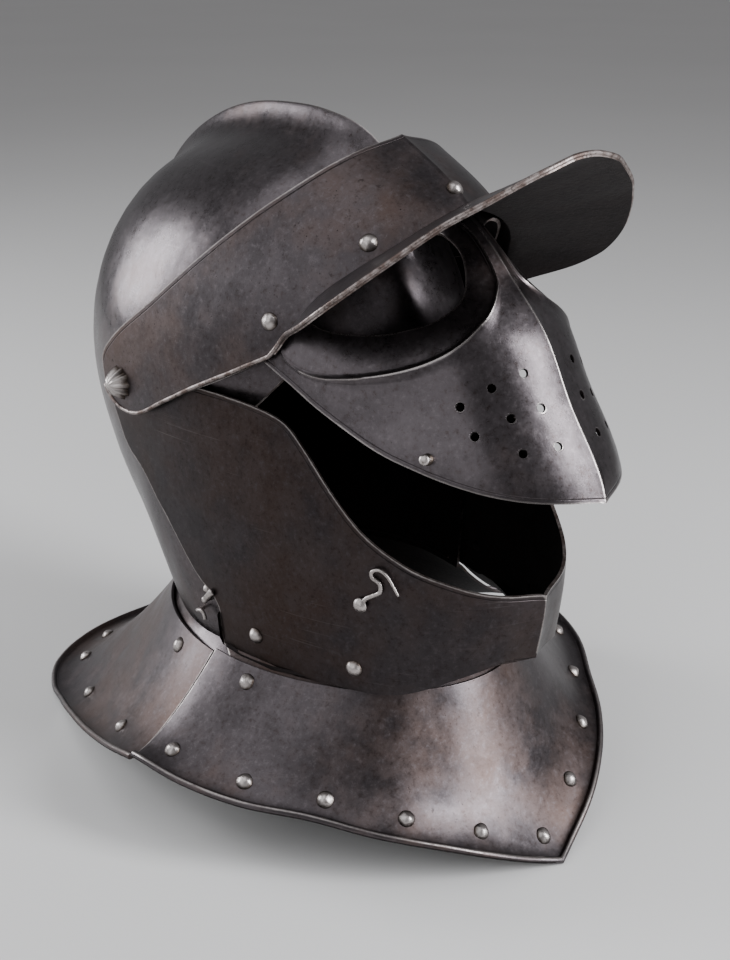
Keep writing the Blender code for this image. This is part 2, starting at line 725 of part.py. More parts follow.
def throat_spot(bearing, chin, level, last):
    """The bevor from the chin's edge in to the throat and out under the gorget, in four levels."""
    throat = neck_spot(bearing, THROAT_INSET, 4.5 * MM)
    if level == 0:
        return chin.lerp(throat, 0.55) + Vector((0, 0, -1.5 * MM))
    if level == 1:
        return throat
    if last:
        return neck_spot(bearing, THROAT_INSET - MM, (1 - 3.5 * (level - 1)) * MM)
    return under_gorget(bearing, NECK_FLANGE * (level - 1.8) / 1.2, SEAM_LIFT)


def build_bevor(material):
    """Chin and cheeks: from the rim down to the chin's edge, then in to the throat and out under the gorget."""
    front, arm = 8, 8
    rim = outline(BEVOR_RIM_ARM, arm)[:-1] + outline(BEVOR_RIM_FRONT, front)
    foot = outline(BEVOR_BACK, arm)[:-1] + outline(BEVOR_CHIN, front)
    rows = []
    steps = 5
    for r in range(steps + 1):
        rows.append([pair_on(BEVOR, between(a, b, r / steps)) for a, b in zip(rim, foot)])
    for level in range(4):
        row = []
        for column, pair in enumerate(rows[steps]):
            if column < arm:
                row.append(pair)
                continue
            bearing = SEAM_BEARING * (1 - (column - arm) / front)
            row.append([throat_spot(side * bearing, own, level, column == arm) for side, own in zip((-1, 1), pair)])
        rows.append(row)
    whole = [both_sides(row) for row in rows]
    points = [point for row in whole for point in row]
    mesh = open_sheet("bevor", points, grid_faces(len(whole), len(whole[0])), place(0, -0.05, 0))
    bevor = add_object("bevor", mesh, material)
    thicken(bevor, PLATE_WALL)
    return bevor


def visor_ring(share):
    """Spots round the eye opening: share 0 at its edge, 1 at the crease and 2 at the plate's edge."""
    spots = []
    for eye, crease, edge in VISOR_SPOKES:
        if share <= 1:
            spots.append((eye[0] + (crease[0] - eye[0]) * share, eye[1] + (crease[1] - eye[1]) * share))
        else:
            k = share - 1
            spots.append((crease[0] + (edge[0] - crease[0]) * k, crease[1] + (edge[1] - crease[1]) * k))
    return spots


def build_visor(material):
    """The face plate: each half is a web of rings round its eye opening, with an arm to the rosette."""
    shares = (0, 0.6, 1, 1.4, 2)
    arm_rows, arm_columns = 3, 8
    count = len(VISOR_SPOKES)
    order = []
    for k in range(count):
        order.append((k, 0))
        if k == VISOR_CORNERS[1]:
            order.extend((k, step / arm_rows) for step in range(1, arm_rows))
    points, faces = [], []
    for side in (-1, 1):
        first = len(points)
        for share in shares:
            spots = visor_ring(share)
            depth = SOCKET_DEPTH * max(1 - share, 0) ** 1.3
            for k, part in order:
                here, after = spots[k], spots[(k + 1) % count]
                sink = depth * (SOCKET_SHARES[k] * (1 - part) + SOCKET_SHARES[(k + 1) % count] * part)
                spot = (here[0] + (after[0] - here[0]) * part, here[1] + (after[1] - here[1]) * part)
                points.append(VISOR.point(*spot, side) - VISOR.outward(*spot, side) * sink)
        width = len(order)
        for row in range(len(shares) - 1):
            for c in range(width):
                after = (c + 1) % width
                low, high = first + row * width, first + (row + 1) * width
                face = (low + c, low + after, high + after, high + c)
                faces.append(face if side > 0 else face[::-1])
        under = outline(VISOR_ARM_UNDER, arm_columns)
        top = outline(VISOR_ARM_TOP, arm_columns)
        first = len(points)
        for r in range(arm_rows + 1):
            for low, high in zip(under, top):
                spot = between(low, high, r / arm_rows)
                if low is under[-1]:
                    share = r / arm_rows
                    spot = (low[0] + (high[0] - low[0]) * share, low[1] + (high[1] - low[1]) * share)
                points.append(VISOR.point(*spot, side))
        patch = grid_faces(arm_rows + 1, arm_columns + 1, first)
        faces.extend(patch if side > 0 else [face[::-1] for face in patch])
    mesh = open_sheet("visor", points, faces, place(0, 0, 0))
    visor = add_object("visor", mesh, material)
    thicken(visor, PLATE_WALL)
    return visor


def brim_edge(pieces):
    """The brim's edge from where it leaves the band to its tip, as (right-hand, left-hand) pairs."""
    fold = PEAK.point(*PEAK_FOLD[0], 1)
    forward, up = PIVOT_BACK - fold.y, fold.z - PIVOT_HEIGHT
    course = []
    for ahead, aside, rise in BRIM_EDGE[::-1]:
        course.append(Vector((forward + ahead * BRIM_LENGTH, up + rise * BRIM_RISE, aside * SKULL_HALF_WIDTH)))
    run = [0]
    for before, after in zip(course, course[1:]):
        run.append(run[-1] + (after - before).length)
    pairs = []
    for k in range(pieces + 1):
        at = run[-1] * k / pieces
        spot = [curve_value([(r, c[i]) for r, c in zip(run, course)], at) for i in range(3)]
        pairs.append([place(spot[0], spot[1], side * spot[2]) for side in (-1, 1)])
    return pairs


def build_peak(material):
    """The brow band, from its rear edge to the fold, and the brim that springs from the fold."""
    front, arm = 9, 8
    top = outline(PEAK_TOP, arm + front)
    fold = outline(PEAK_UNDER, arm)[:-1] + outline(PEAK_FOLD, front)
    rows = []
    steps = 4
    for r in range(steps + 1):
        rows.append([pair_on(PEAK, between(a, b, r / steps)) for a, b in zip(top, fold)])
    edge = brim_edge(front)
    brim_steps = 3
    for r in range(1, brim_steps + 1):
        row = []
        for column, pair in enumerate(rows[steps]):
            if column <= arm:
                row.append(pair)
                continue
            goal = edge[column - arm]
            fade = smooth((column - arm) / 2)
            row.append([own.lerp(aim, r / brim_steps * fade) for own, aim in zip(pair, goal)])
        rows.append(row)
    whole = [both_sides(row) for row in rows]
    points = [point for row in whole for point in row]
    mesh = open_sheet("peak", points, grid_faces(len(whole), len(whole[0])), place(0, 0, 0))
    peak = add_object("peak", mesh, material)
    thicken(peak, PLATE_WALL)
    return peak


def gorget_plate(name, bearings, raise_by, material):
    """One gorget plate between bearings, given from the wearer's right to the left."""
    rows = []
    for r in range(GORGET_ROWS + 1):
        rows.append([gorget_spot(bearing, r / GORGET_ROWS, raise_by) for bearing in bearings])
    return rimmed_plate(name, rows, PLATE_WALL, RIM_BEAD, material)


def build_gorget_front(material):
    """The front plate laps over the rear one at the two seams."""
    half, pieces = SEAM_BEARING + 0.4, 16
    return gorget_plate("gorget_front", [half * (2 * k / pieces - 1) for k in range(pieces + 1)], SEAM_LIFT, material)


def build_gorget_rear(material):
    start, pieces = SEAM_BEARING + 1.6, 20
    bearings = [start + (360 - 2 * start) * k / pieces for k in range(pieces + 1)]
    return gorget_plate("gorget_rear", bearings, 0, material)


def build_rosettes(material, drills):
    """A fluted dome outside, its shank through all four plates and a burr inside the skull."""
    seated = PEAK_HALF_WIDTH + SEAT_GAP
    inside = SKULL_HALF_WIDTH - SKULL_WALL - 3 * SEAT_GAP
    for side, label in ((-1, "right"), (1, "left")):
        profile = [(0, seated + ROSETTE_HEIGHT)]
        for share in (0.35, 0.7, 0.93, 1):
            profile.append((ROSETTE_RADIUS * share, seated + ROSETTE_HEIGHT * (1 - share ** 2.4)))
        profile += [(PIVOT_SHANK, seated), (PIVOT_SHANK, inside), (PIVOT_SHANK * 2, inside),
                    (PIVOT_SHANK * 1.6, inside - 1.5 * MM), (0, inside - 1.5 * MM)]
        turned(f"pivot_rosette_{label}", profile, 2 * ROSETTE_FLUTES, place(0, 0, 0), Vector((side, 0, 0)), material)
        for name, width in (("skull", SKULL_HALF_WIDTH), ("bevor", BEVOR_HALF_WIDTH), ("visor", VISOR_HALF_WIDTH),
                            ("peak", PEAK_HALF_WIDTH)):
            drills[name].append((place(0, 0, side * width), Vector((side, 0, 0)), PIVOT_SHANK + HOLE_CLEARANCE))


def peak_rivet_spots():
    return [(spot, side) for spot in PEAK_RIVETS for side in (-1, 1)] + [(PEAK_CENTRE_RIVET, 1)]


def build_rivets(plates, material, drills):
    """The rivets of the peak, the bevor and the gorget's lining, and those that hold the gorget to the neck."""
    for number, (spot, side) in enumerate(peak_rivet_spots(), 1):
        rivet(f"peak_rivet_{number}", (plates["peak"],), PEAK.point(*spot, side), PEAK.outward(*spot, side),
              material, drills, RIVET_HEAD, RIVET_RISE)
    number = 0
    for spot in BEVOR_RIVETS:
        for side in (-1, 1):
            number += 1
            rivet(f"bevor_rivet_{number}", (plates["bevor"],), BEVOR.point(*spot, side), BEVOR.outward(*spot, side),
                  material, drills, RIVET_HEAD, RIVET_RISE)
    for label, bearings, raise_by in (("front", FRONT_LINING, SEAM_LIFT), ("rear", REAR_LINING, 0)):
        number = 0
        for bearing in bearings:
            for side in (-1, 1) if bearing else (1,):
                number += 1
                spot = gorget_spot(side * bearing, LINING_SHARE, raise_by)
                rivet(f"{label}_lining_rivet_{number}", (plates[f"gorget_{label}"],), spot,
                      gorget_outward(side * bearing, LINING_SHARE), material, drills, RIVET_HEAD, RIVET_RISE)
    for label, under, bearing, raise_by in (("front", "bevor", NECK_RIVET_BEARINGS[0], SEAM_LIFT),
                                            ("rear", "skull", NECK_RIVET_BEARINGS[1], 0)):
        for side, hand in ((-1, "right"), (1, "left")):
            spot = gorget_spot(side * bearing, NECK_RIVET_SHARE, raise_by)
            axis = gorget_outward(side * bearing, NECK_RIVET_SHARE)
            rivet(f"neck_rivet_{label}_{hand}", (plates[f"gorget_{label}"], plates[under]), spot, axis, material,
                  drills, RIVET_HEAD, RIVET_RISE)


def build_breaths(drills):
    for spot in BREATHS:
        for side in (-1, 1):
            drills["visor"].append((VISOR.point(*spot, side), VISOR.outward(*spot, side), BREATH_RADIUS))


def build_stud(plates, material, drills):
    """The headed stud on the right of the visor."""
    axis = VISOR.outward(*STUD_PLACE, -1)
    origin, grip = seat((plates["visor"],), VISOR.point(*STUD_PLACE, -1), axis, SMALL_HEAD)
    profile = (
        (0, STUD_LENGTH),
        (SMALL_HEAD * 0.8, STUD_LENGTH * 0.92),
        (SMALL_HEAD, STUD_LENGTH * 0.7),
        (RIVET_SHANK, STUD_LENGTH * 0.5),
        (RIVET_SHANK, -grip - SEAT_GAP),
        (SMALL_HEAD, -grip - SEAT_GAP),
        (SMALL_HEAD * 0.7, -grip - SEAT_GAP - RIVET_TAIL),
        (0, -grip - SEAT_GAP - RIVET_TAIL),
    )
    turned("visor_stud", profile, RIVET_SIDES, origin, axis, material)
    drills["visor"].append((origin, axis, RIVET_SHANK + HOLE_CLEARANCE))


# The wire's course on the plate: right and up from its rivet, as shares of the hook's reach.
HOOK_COURSE = ((0.3, 0.42), (0.62, 0.62), (0.98, 0.88), (0.96, 1.3), (0.6, 1.55), (0.58, 1.85), (0.95, 2.0),
               (1.35, 1.75), (1.7, 1.2), (1.9, 0.85))


def hook_frame():
    """Directions on the bevor at the hook's rivet: along the plate, up the plate and outwards."""
    outward = BEVOR.outward(*HOOK_PLACE, -1)
    up = (Vector((0, 0, 1)) - outward * outward.z).normalized()
    return up.cross(outward).normalized(), up, outward


def wire_object(name, course, origin, material):
    """A round wire along a course given from its origin, with flat ends."""
    sides = 6
    points, faces = [], []
    across = None
    for k, spot in enumerate(course):
        before, after = course[max(k - 1, 0)], course[min(k + 1, len(course) - 1)]
        along = (after - before).normalized()
        if across is None:
            across = along.orthogonal().normalized()
        across = (across - along * across.dot(along)).normalized()
        over = along.cross(across)
        for c in range(sides):
            bearing = 2 * pi * c / sides
            points.append(spot + (across * cos(bearing) + over * sin(bearing)) * HOOK_WIRE)
    for k in range(len(course) - 1):
        for c in range(sides):
            low, high = k * sides, (k + 1) * sides
            faces.append((low + c, low + (c + 1) % sides, high + (c + 1) % sides, high + c))
    faces.append(tuple(range(sides)))
    faces.append(tuple(range((len(course) - 1) * sides, len(course) * sides)))
    thing = add_object(name, mesh_from(name, points, faces), material, 50)
    thing.location = origin
    return thing


def build_hook(plates, material, drills):
    """A wire bent round its rivet and into an S, lying off the bevor by its own thickness."""
    along, up, outward = hook_frame()
    lift = 2 * HOOK_WIRE + SEAT_GAP
    origin, grip = seat((plates["bevor"],), BEVOR.point(*HOOK_PLACE, -1), outward, HOOK_REACH * 0.3)
    eye = RIVET_SHANK + HOLE_CLEARANCE + HOOK_WIRE
    course = []
    for k in range(7):
        bearing = radians(330 - 45 * k)
        course.append((eye * cos(bearing), eye * sin(bearing)))
    course += [(x * HOOK_REACH / 2, y * HOOK_REACH / 2) for x, y in HOOK_COURSE]
    level = outward * (SEAT_GAP + HOOK_WIRE)
    wire_object("visor_hook", [along * x + up * y + level for x, y in course], origin, material)
    profile = [(r, h + lift if h > 0 else h) for r, h in rivet_profile(SMALL_HEAD * 1.35, SMALL_RISE, grip)]
    turned("hook_rivet", profile, RIVET_SIDES, origin, outward, material)
    drills["bevor"].append((origin, outward, RIVET_SHANK + HOLE_CLEARANCE))


def by_corner(offset, lift=0):
    """A place beside the neck on the wearer's right, from the lower rear corner of the bevor's cheek."""
    corner = BEVOR.point(*BEVOR_BACK[1], -1)
    return Vector((-SKULL_HALF_WIDTH, corner.y - offset[0] - lift, corner.z + offset[1] + lift))


def build_neck_pin(plates, material, drills):
    """A shank through the skull with a flat bar outside, which turns over the bevor's edge."""
    axis = Vector((-1, 0, 0))
    origin, grip = seat((plates["skull"],), by_corner(PIN_FROM_CORNER), axis, PIN_SHANK * 1.8)
    over, _ = seat((plates["bevor"],), by_corner(PIN_FROM_CORNER, PIN_BAR / 2), axis, PIN_BAR * 0.6)
    level = origin.x - over.x + 2 * SEAT_GAP
    profile = (
        (0, level + 1.6 * MM),
        (PIN_SHANK, level + 1 * MM),
        (PIN_SHANK, -grip - SEAT_GAP),
        (PIN_SHANK * 1.8, -grip - SEAT_GAP),
        (PIN_SHANK * 1.5, -grip - SEAT_GAP - 1 * MM),
        (0, -grip - SEAT_GAP - 1 * MM),
    )
    shank = turned("neck_pin", profile, 10, Vector(), axis, material)
    bar = bmesh.new()
    slant = Matrix.Rotation(radians(-45), 4, "X")
    shape = Matrix.Diagonal((2 * MM, PIN_BAR, PIN_BAR * 0.4, 1))
    middle = Matrix.Translation((-level - 1 * MM, -PIN_BAR * 0.25, PIN_BAR * 0.25))
    bmesh.ops.create_cube(bar, size=1, matrix=middle @ slant @ shape)
    bmesh.ops.bevel(bar, geom=bar.edges[:], offset=0.5 * MM, segments=1, affect="EDGES")
    mesh = bpy.data.meshes.new("pin_bar")
    bar.to_mesh(mesh)
    bar.free()
    block = bpy.data.objects.new("pin_bar", mesh)
    bpy.context.collection.objects.link(block)
    shank.location = origin
    block.location = origin
    cut(shank, block, "UNION")
    drills["skull"].append((origin, axis, PIN_SHANK + HOLE_CLEARANCE))


def build_neck_catch(plates, material, drills):
    """A small rivet beside the pin and the bent wire below it."""
    axis = Vector((-1, 0, 0))
    rivet("neck_pin_rivet", (plates["skull"],), by_corner(STUD_FROM_CORNER), axis, material, drills, SMALL_HEAD,
          SMALL_RISE)
    origin, grip = seat((plates["skull"],), by_corner(CATCH_FROM_CORNER), axis, SMALL_HEAD)
    out = origin + axis * (HOOK_WIRE + SEAT_GAP)
    course = [(grip + 1.4 * MM, 0, 0), (-HOOK_WIRE - 0.8 * MM, 0, 0), (-HOOK_WIRE - 1.6 * MM, -1.2 * MM, 0.6 * MM),
              (-HOOK_WIRE - 1.6 * MM, -4 * MM, 1.6 * MM), (-HOOK_WIRE - 1.6 * MM, -6.5 * MM, 0.6 * MM),
              (-HOOK_WIRE - 1.6 * MM, -8 * MM, -2.4 * MM)]
    wire_object("neck_catch", [Vector(spot) for spot in course], out, material)
    drills["skull"].append((origin, axis, HOOK_WIRE + HOLE_CLEARANCE))


def main():
    clear_scene()
    bowl_steel = steel("skull_steel", (0.20, 0.19, 0.19), 0.35)
    bevor_steel = steel("bevor_steel", (0.13, 0.12, 0.12), 0.4)
    visor_steel = steel("visor_steel", (0.17, 0.17, 0.18), 0.32)
    peak_steel = steel("peak_steel", (0.19, 0.17, 0.16), 0.45)
    front_steel = steel("gorget_front_steel", (0.18, 0.17, 0.17), 0.4)
    rear_steel = steel("gorget_rear_steel", (0.17, 0.15, 0.15), 0.42)
    bright = steel("bright_steel", (0.45, 0.43, 0.42), 0.3)
    plates = {
        "skull": build_skull(bowl_steel),
        "bevor": build_bevor(bevor_steel),
        "visor": build_visor(visor_steel),
        "peak": build_peak(peak_steel),
        "gorget_front": build_gorget_front(front_steel),
        "gorget_rear": build_gorget_rear(rear_steel),
    }
    drills = {name: [] for name in plates}
    build_rivets(plates, bright, drills)
    build_stud(plates, bright, drills)
    build_hook(plates, bright, drills)
    build_neck_pin(plates, bright, drills)
    build_neck_catch(plates, bright, drills)
    build_breaths(drills)
    build_rosettes(bright, drills)
    for name, plate in plates.items():
        cut(plate, hole_drills(name + "_drills", drills[name]))


main()
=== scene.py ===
import json
from bisect import bisect_right
from math import acos, atan2, cos, degrees, exp, hypot, pi, radians, sin

import bmesh
import bpy
from mathutils import Matrix, Vector, noise
from mathutils.bvhtree import BVHTree
from mathutils.kdtree import KDTree


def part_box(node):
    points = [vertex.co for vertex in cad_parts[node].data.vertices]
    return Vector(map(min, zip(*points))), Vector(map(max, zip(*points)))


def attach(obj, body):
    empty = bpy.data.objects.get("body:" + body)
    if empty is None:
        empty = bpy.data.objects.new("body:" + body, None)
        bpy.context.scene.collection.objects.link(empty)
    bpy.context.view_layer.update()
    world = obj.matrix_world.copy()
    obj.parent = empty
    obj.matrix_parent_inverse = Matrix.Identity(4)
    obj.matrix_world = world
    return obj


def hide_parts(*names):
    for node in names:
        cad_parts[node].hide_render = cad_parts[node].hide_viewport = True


# The looks of a savoyard close helmet: its plates as fine smooth sheets with rolled and filed edges,
# domed rivets, fluted rosettes, hook and catch, and a worn, browned, pitted steel.

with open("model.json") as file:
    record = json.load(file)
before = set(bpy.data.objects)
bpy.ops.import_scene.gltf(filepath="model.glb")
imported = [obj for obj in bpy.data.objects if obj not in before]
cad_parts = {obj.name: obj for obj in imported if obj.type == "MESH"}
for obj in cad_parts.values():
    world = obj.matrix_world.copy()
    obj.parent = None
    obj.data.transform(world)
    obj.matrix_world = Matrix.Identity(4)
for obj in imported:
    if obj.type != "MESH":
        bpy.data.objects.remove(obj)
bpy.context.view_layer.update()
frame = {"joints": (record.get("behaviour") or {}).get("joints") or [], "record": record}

# The rivets' hand-made unevenness is the same at every run.
noise.seed_set(1)

MM = 0.001
MEDIAL = 90

# Where the rosettes' axis runs, and the body of each solid
PIVOT = next(joint["pos_m"] for joint in frame["joints"] if joint["name"] == "visor_pivot")
PIVOT_BACK = PIVOT[1]
PIVOT_HEIGHT = PIVOT[2]
BODY_OF = {node: body for body, nodes in frame["record"]["behaviour"]["bodies"].items() for node in nodes}

# Sheet and clearances
SKULL_WALL = 2 * MM
PLATE_WALL = 1.8 * MM
LAYER_GAP = 0.8 * MM
SEAT_GAP = 0.3 * MM

# Skull
SKULL_HALF_WIDTH = 90 * MM
SKULL_RADIUS = 124 * MM
COMB_HEIGHT = 19 * MM
COMB_SPREAD = 6 * MM

# Reach of each plate from the rosettes' axis, on the medial line
BEVOR_STANDOFF = 118 * MM
VISOR_STANDOFF = 8 * MM
PEAK_STANDOFF = 66 * MM
BEVOR_REACH = SKULL_RADIUS + BEVOR_STANDOFF
VISOR_REACH = BEVOR_REACH + VISOR_STANDOFF
PEAK_REACH = SKULL_RADIUS + PEAK_STANDOFF
BEVOR_KEEL = 2.5 * MM
VISOR_KEEL = 2 * MM
PEAK_KEEL = 2 * MM
KEEL_SPREAD = 9 * MM
SOCKET_DEPTH = 4 * MM

# Brim of the peak, from its fold
BRIM_LENGTH = 70 * MM
BRIM_RISE = 31 * MM

# Neck and gorget
NECK_EASE = 1 * MM
NECK_HALF_WIDTH = SKULL_HALF_WIDTH + NECK_EASE
NECK_HEIGHT = PIVOT_HEIGHT - 1.1048 * SKULL_RADIUS
NECK_FORWARD = 0.5484 * SKULL_RADIUS
NECK_HALF_LENGTH = 0.9194 * SKULL_RADIUS
THROAT_INSET = 5 * MM
NECK_FLANGE = 9 * MM
FLANGE_DEPTH = 2.8 * MM
GORGET_REACH = 1.3484 * SKULL_RADIUS
SHOULDER_HEIGHT = 44 * MM
RIM_BEAD = 2 * MM
SEAM_LIFT = 2.6 * MM

# Pivots, rivets, breaths
ROSETTE_RADIUS = 9.5 * MM
ROSETTE_HEIGHT = 8 * MM
ROSETTE_FLUTES = 10
RIVET_HEAD = 4.4 * MM
RIVET_RISE = 2.9 * MM
SMALL_HEAD = 2.6 * MM
SMALL_RISE = 1.8 * MM

PIVOT_SHANK = 3.5 * MM
RIVET_SHANK = 1.5 * MM
BREATH_RADIUS = 2 * MM
SEARCH = 9 * MM

# Hook and neck pin
HOOK_WIRE = 1.1 * MM
HOOK_REACH = 21 * MM
STUD_LENGTH = 6 * MM
PIN_SHANK = 1.8 * MM
PIN_BAR = 11 * MM
STUD_FROM_CORNER = (-10.8 * MM, 1 * MM)
CATCH_FROM_CORNER = (-16.7 * MM, -13.1 * MM)

# Edges
EDGE_ROUNDING = 0.5 * MM
PEAK_ROLL = 1.1 * MM
CREASE_RISE = 0.9 * MM
CREASE_SPREAD = 0.045
FRONT_EASE = 15
VISOR_BRIDGE = 30
VISOR_TIP = -26
RIM_RING = 14

# How finely the plates are cut: pieces for each piece of a plate's outline, and rows from edge to edge
FINE = 6
PLATE_ROWS = 26
BRIM_ROWS = 16
THROAT_ROWS = 28
GORGET_ROWS = 22
SKULL_SECTIONS = 24 * FINE
FLUTE_DEPTH = 0.2

# Points closer than this, in metres, are one point.
JOIN_WITHIN = 2e-6

# The steel where it is black, where it is browned and where it is worn bare
DARK = (0.064, 0.056, 0.059)
BROWN = (0.08, 0.054, 0.046)
BARE = (0.42, 0.385, 0.37)

# The camera of the photograph, and the studio's soft lights
CAMERA_PLACE = Vector((-0.475, -0.5602, 0.4562))
CAMERA_AHEAD = Vector((0.62065, 0.68808, -0.37596))
CAMERA_RIGHT = Vector((0.74256, -0.66978, 0))
CAMERA_LENS = 52.5
AIM = Vector((0, 0, 0.2))
WORLD_LIGHT = 0.3
WORLD_COLOUR = (0.97, 0.97, 1, 1)
LAMP_COLOUR = (0.95, 0.97, 1)
FLOOR_REACH = 30
LAMPS = (
    # name, place, width and height, power
    ("rear_softbox", (-0.78, 1.3, 0.6), (0.5, 0.7), 17),
    ("front_softbox", (0.5, -1.3, 0.74), (0.42, 1.15), 40),
    ("side_softbox", (-1.9, -0.1, 0.95), (2.1, 1.1), 11),
    ("overhead_softbox", (-0.7, 0.1, 1.8), (1.6, 1.5), 12),
)

# Columns of the skull's bowl: millimetres aside from the medial line
SKULL_ASIDES = (0, 0.35, 0.8, 1.4, 2.2, 3.2, 4.5, 6, 8, 11, 15, 20, 26, 33, 40, 47, 54, 61, 67.5, 73, 78,
                82, 85, 87.3, 88.8, 89.7, 90)

# Rings round the visor's eye opening: 0 at the opening, 1 at the crease and 2 at the plate's edge
VISOR_RINGS = (0, 0.03, 0.12, 0.25, 0.4, 0.55, 0.7, 0.82, 0.9, 0.94, 0.97, 1, 1.03, 1.06, 1.1, 1.18, 1.28,
               1.4, 1.52, 1.64, 1.76, 1.88, 1.97, 2)

# Every outline below runs from the medial line to the arm, as (angle, turn) in degrees.
BEVOR_RIM_FRONT = ((-19.6, 90), (-19.5, 78), (-19.4, 64), (-18.9, 53.6), (-16.6, 45.8), (-12.5, 42.2),
                   (-6.3, 39.7))
BEVOR_RIM_ARM = ((-6.3, 39.7), (0, 36.7), (3.3, 31.3), (6.3, 24.2), (10, 17), (18, 10), (40, 6), (90, 4.4),
                 (165, 4.4))
BEVOR_CHIN = ((-28.1, 90), (-28.7, 79), (-32.4, 66.8), (-37.7, 54.9), (-43.7, 42), (-50, 33), (-60, 22.7))
BEVOR_BACK = ((-60, 22.7), (-58.8, 18.6), (-61.9, 15.5), (-66.7, 10.8), (-72.3, 8.2), (-82, 5.9), (-100, 5.3),
              (-130, 5), (-165, 4.6))
PEAK_TOP = ((49.6, 90), (49.5, 67), (50.2, 52), (53.1, 34.9), (58.2, 23.7), (67.1, 16.4), (84, 11.4),
            (110, 8.4), (150, 7.2))
PEAK_FOLD = ((33.8, 90), (32.2, 76), (30.8, 66), (29.6, 57), (27.4, 47.5), (23, 40.5), (18.2, 35.4))
PEAK_UNDER = ((18.2, 35.4), (16.3, 29.3), (11.8, 20.6), (5, 14.8), (-8, 10.2), (-32, 7.4), (-70, 5.5),
              (-110, 5), (-165, 5.6))
VISOR_ARM_UNDER = ((17.3, 34.2), (13, 25), (7, 17), (-3, 11), (-25, 7), (-60, 5.2), (-110, 4.8), (-165, 4.8))
VISOR_ARM_TOP = ((33, 36), (38, 28), (46, 20), (58, 13), (80, 8), (115, 5.6), (165, 5))

# The visor's half, as spokes from its eye opening: the edge of the opening, the crease round it and the edge
# of the plate.
VISOR_SPOKES = (
    ((30.5, 81.6), (30.8, 86.8), (31, 90)),
    ((27.3, 81.8), (27, 87), (27, 90)),
    ((22.9, 77.8), (22.2, 85.8), (21, 90)),
    ((20.6, 73.1), (19.8, 82.4), (14, 90)),
    ((19.3, 67.5), (17.8, 77.8), (5, 90)),
    ((18.6, 63.5), (16.5, 73.5), (-4.2, 90)),
    ((18.4, 60), (15, 68.5), (-3.8, 78)),
    ((18.3, 56.7), (13.6, 63), (-3.6, 67.5)),
    ((18.7, 52.7), (12.5, 57.6), (-3.1, 58.9)),
    ((19.9, 48.8), (11.8, 52.2), (-1.9, 51.5)),
    ((21.4, 46.4), (11.6, 47.4), (0.4, 45)),
    ((23.2, 44.8), (12, 42.6), (5.7, 39.6)),
    ((25.4, 44), (14.2, 39.4), (11.5, 36.6)),
    ((27.8, 44.8), (20, 38.5), (17.3, 34.2)),
    ((30, 48), (31.5, 42), (33, 36)),
    ((31.4, 55), (34, 55), (37, 55)),
    ((32, 65), (34.2, 66), (37, 67)),
    ((31.9, 75), (34.2, 77), (37, 79)),
    ((31.4, 79.8), (34, 84), (37, 90)),
)
VISOR_CORNERS = (5, 13, 14, 18)
SOCKET_SHARES = (1, 1, 1, 1, 1, 1, 1, 1, 1, 1, 1, 1, 0.8, 0.4, 0.1, 0, 0, 0.1, 0.6)
BREATHS = ((7, 63.2), (9, 70.8), (10.2, 79.8), (3.4, 63.7), (5.3, 72.8), (6, 81.4), (1.5, 72), (1.9, 81.5))
STUD_PLACE = (0.1, 53.8)
PEAK_RIVETS = ((32.9, 61.9), (26.2, 37.4))
PEAK_CENTRE_RIVET = (36.5, 90)
BEVOR_RIVETS = ((-51.7, 26.4), (-38.6, 45.9))
HOOK_PLACE = (-28.3, 46.5)

# The brim's edge, from the tip to where it dies into the fold: shares of its length forward of the fold's
# foremost place, of the skull's half width and of its rise.
BRIM_EDGE = (
    # forward, aside, up
    (1, 0, 1),
    (0.997, 0.084, 0.985),
    (0.985, 0.238, 0.877),
    (0.93, 0.342, 0.748),
    (0.793, 0.557, 0.419),
    (0.664, 0.704, 0.155),
    (0.499, 0.864, -0.245),
    (0.291, 1.013, -0.71),
    (0.074, 1.09, -1.123),
    (-0.09, 1.079, -1.368),
    (-0.244, 1.045, -1.555),
    (-0.371, 1.013, -1.735),
    (-0.557, 0.95, -1.984),
    (-0.729, 0.883, -2.26),
)

# The gorget round the neck: bearing in degrees from straight ahead, reach and height as shares.
GORGET_RIM = (
    # bearing, share of the reach, share of the shoulder's height
    (0, 1, 0),
    (5.2, 0.972, 0.11),
    (13.9, 0.945, 0.33),
    (23.2, 0.914, 0.52),
    (35, 0.878, 0.68),
    (48, 0.846, 0.82),
    (61.9, 0.86, 0.91),
    (76, 0.865, 0.98),
    (89, 0.864, 1),
    (100, 0.86, 0.83),
    (114, 0.875, 0.57),
    (128.9, 0.943, 0.32),
    (140.5, 1.043, 0.11),
    (147, 1.129, 0.02),
    (155.2, 1.212, 0),
    (167, 1.256, 0),
    (180, 1.256, 0),
)
GORGET_HOLLOW = 1.45
SEAM_BEARING = 90
FRONT_LINING = (0, 13.9, 29.5, 46.5, 64.2, 83.5)
REAR_LINING = (108.3, 138, 155.2, 164.5)
LINING_SHARE = 0.8
NECK_RIVET_BEARINGS = (75.5, 106.7)
NECK_RIVET_SHARE = 0.11

# The edge of the skull's face opening seen from the side: forward and up from the rosettes, as shares
# of the skull's radius.
FACE_EDGE = ((1, 0.29), (0.87, 0.28), (0.77, 0.13), (0.67, 0.01), (0.6, -0.14), (0.62, -0.45), (0.66, -0.8),
             (0.66, -1.3))

# The wire's course on the plate: right and up from its rivet, as shares of the hook's reach.
HOOK_COURSE = ((0.3, 0.42), (0.62, 0.62), (0.98, 0.88), (0.96, 1.3), (0.6, 1.55), (0.58, 1.85), (0.95, 2),
               (1.35, 1.75), (1.7, 1.2), (1.9, 0.85))


def smooth(share):
    share = min(max(share, 0), 1)
    return share * share * (3 - 2 * share)


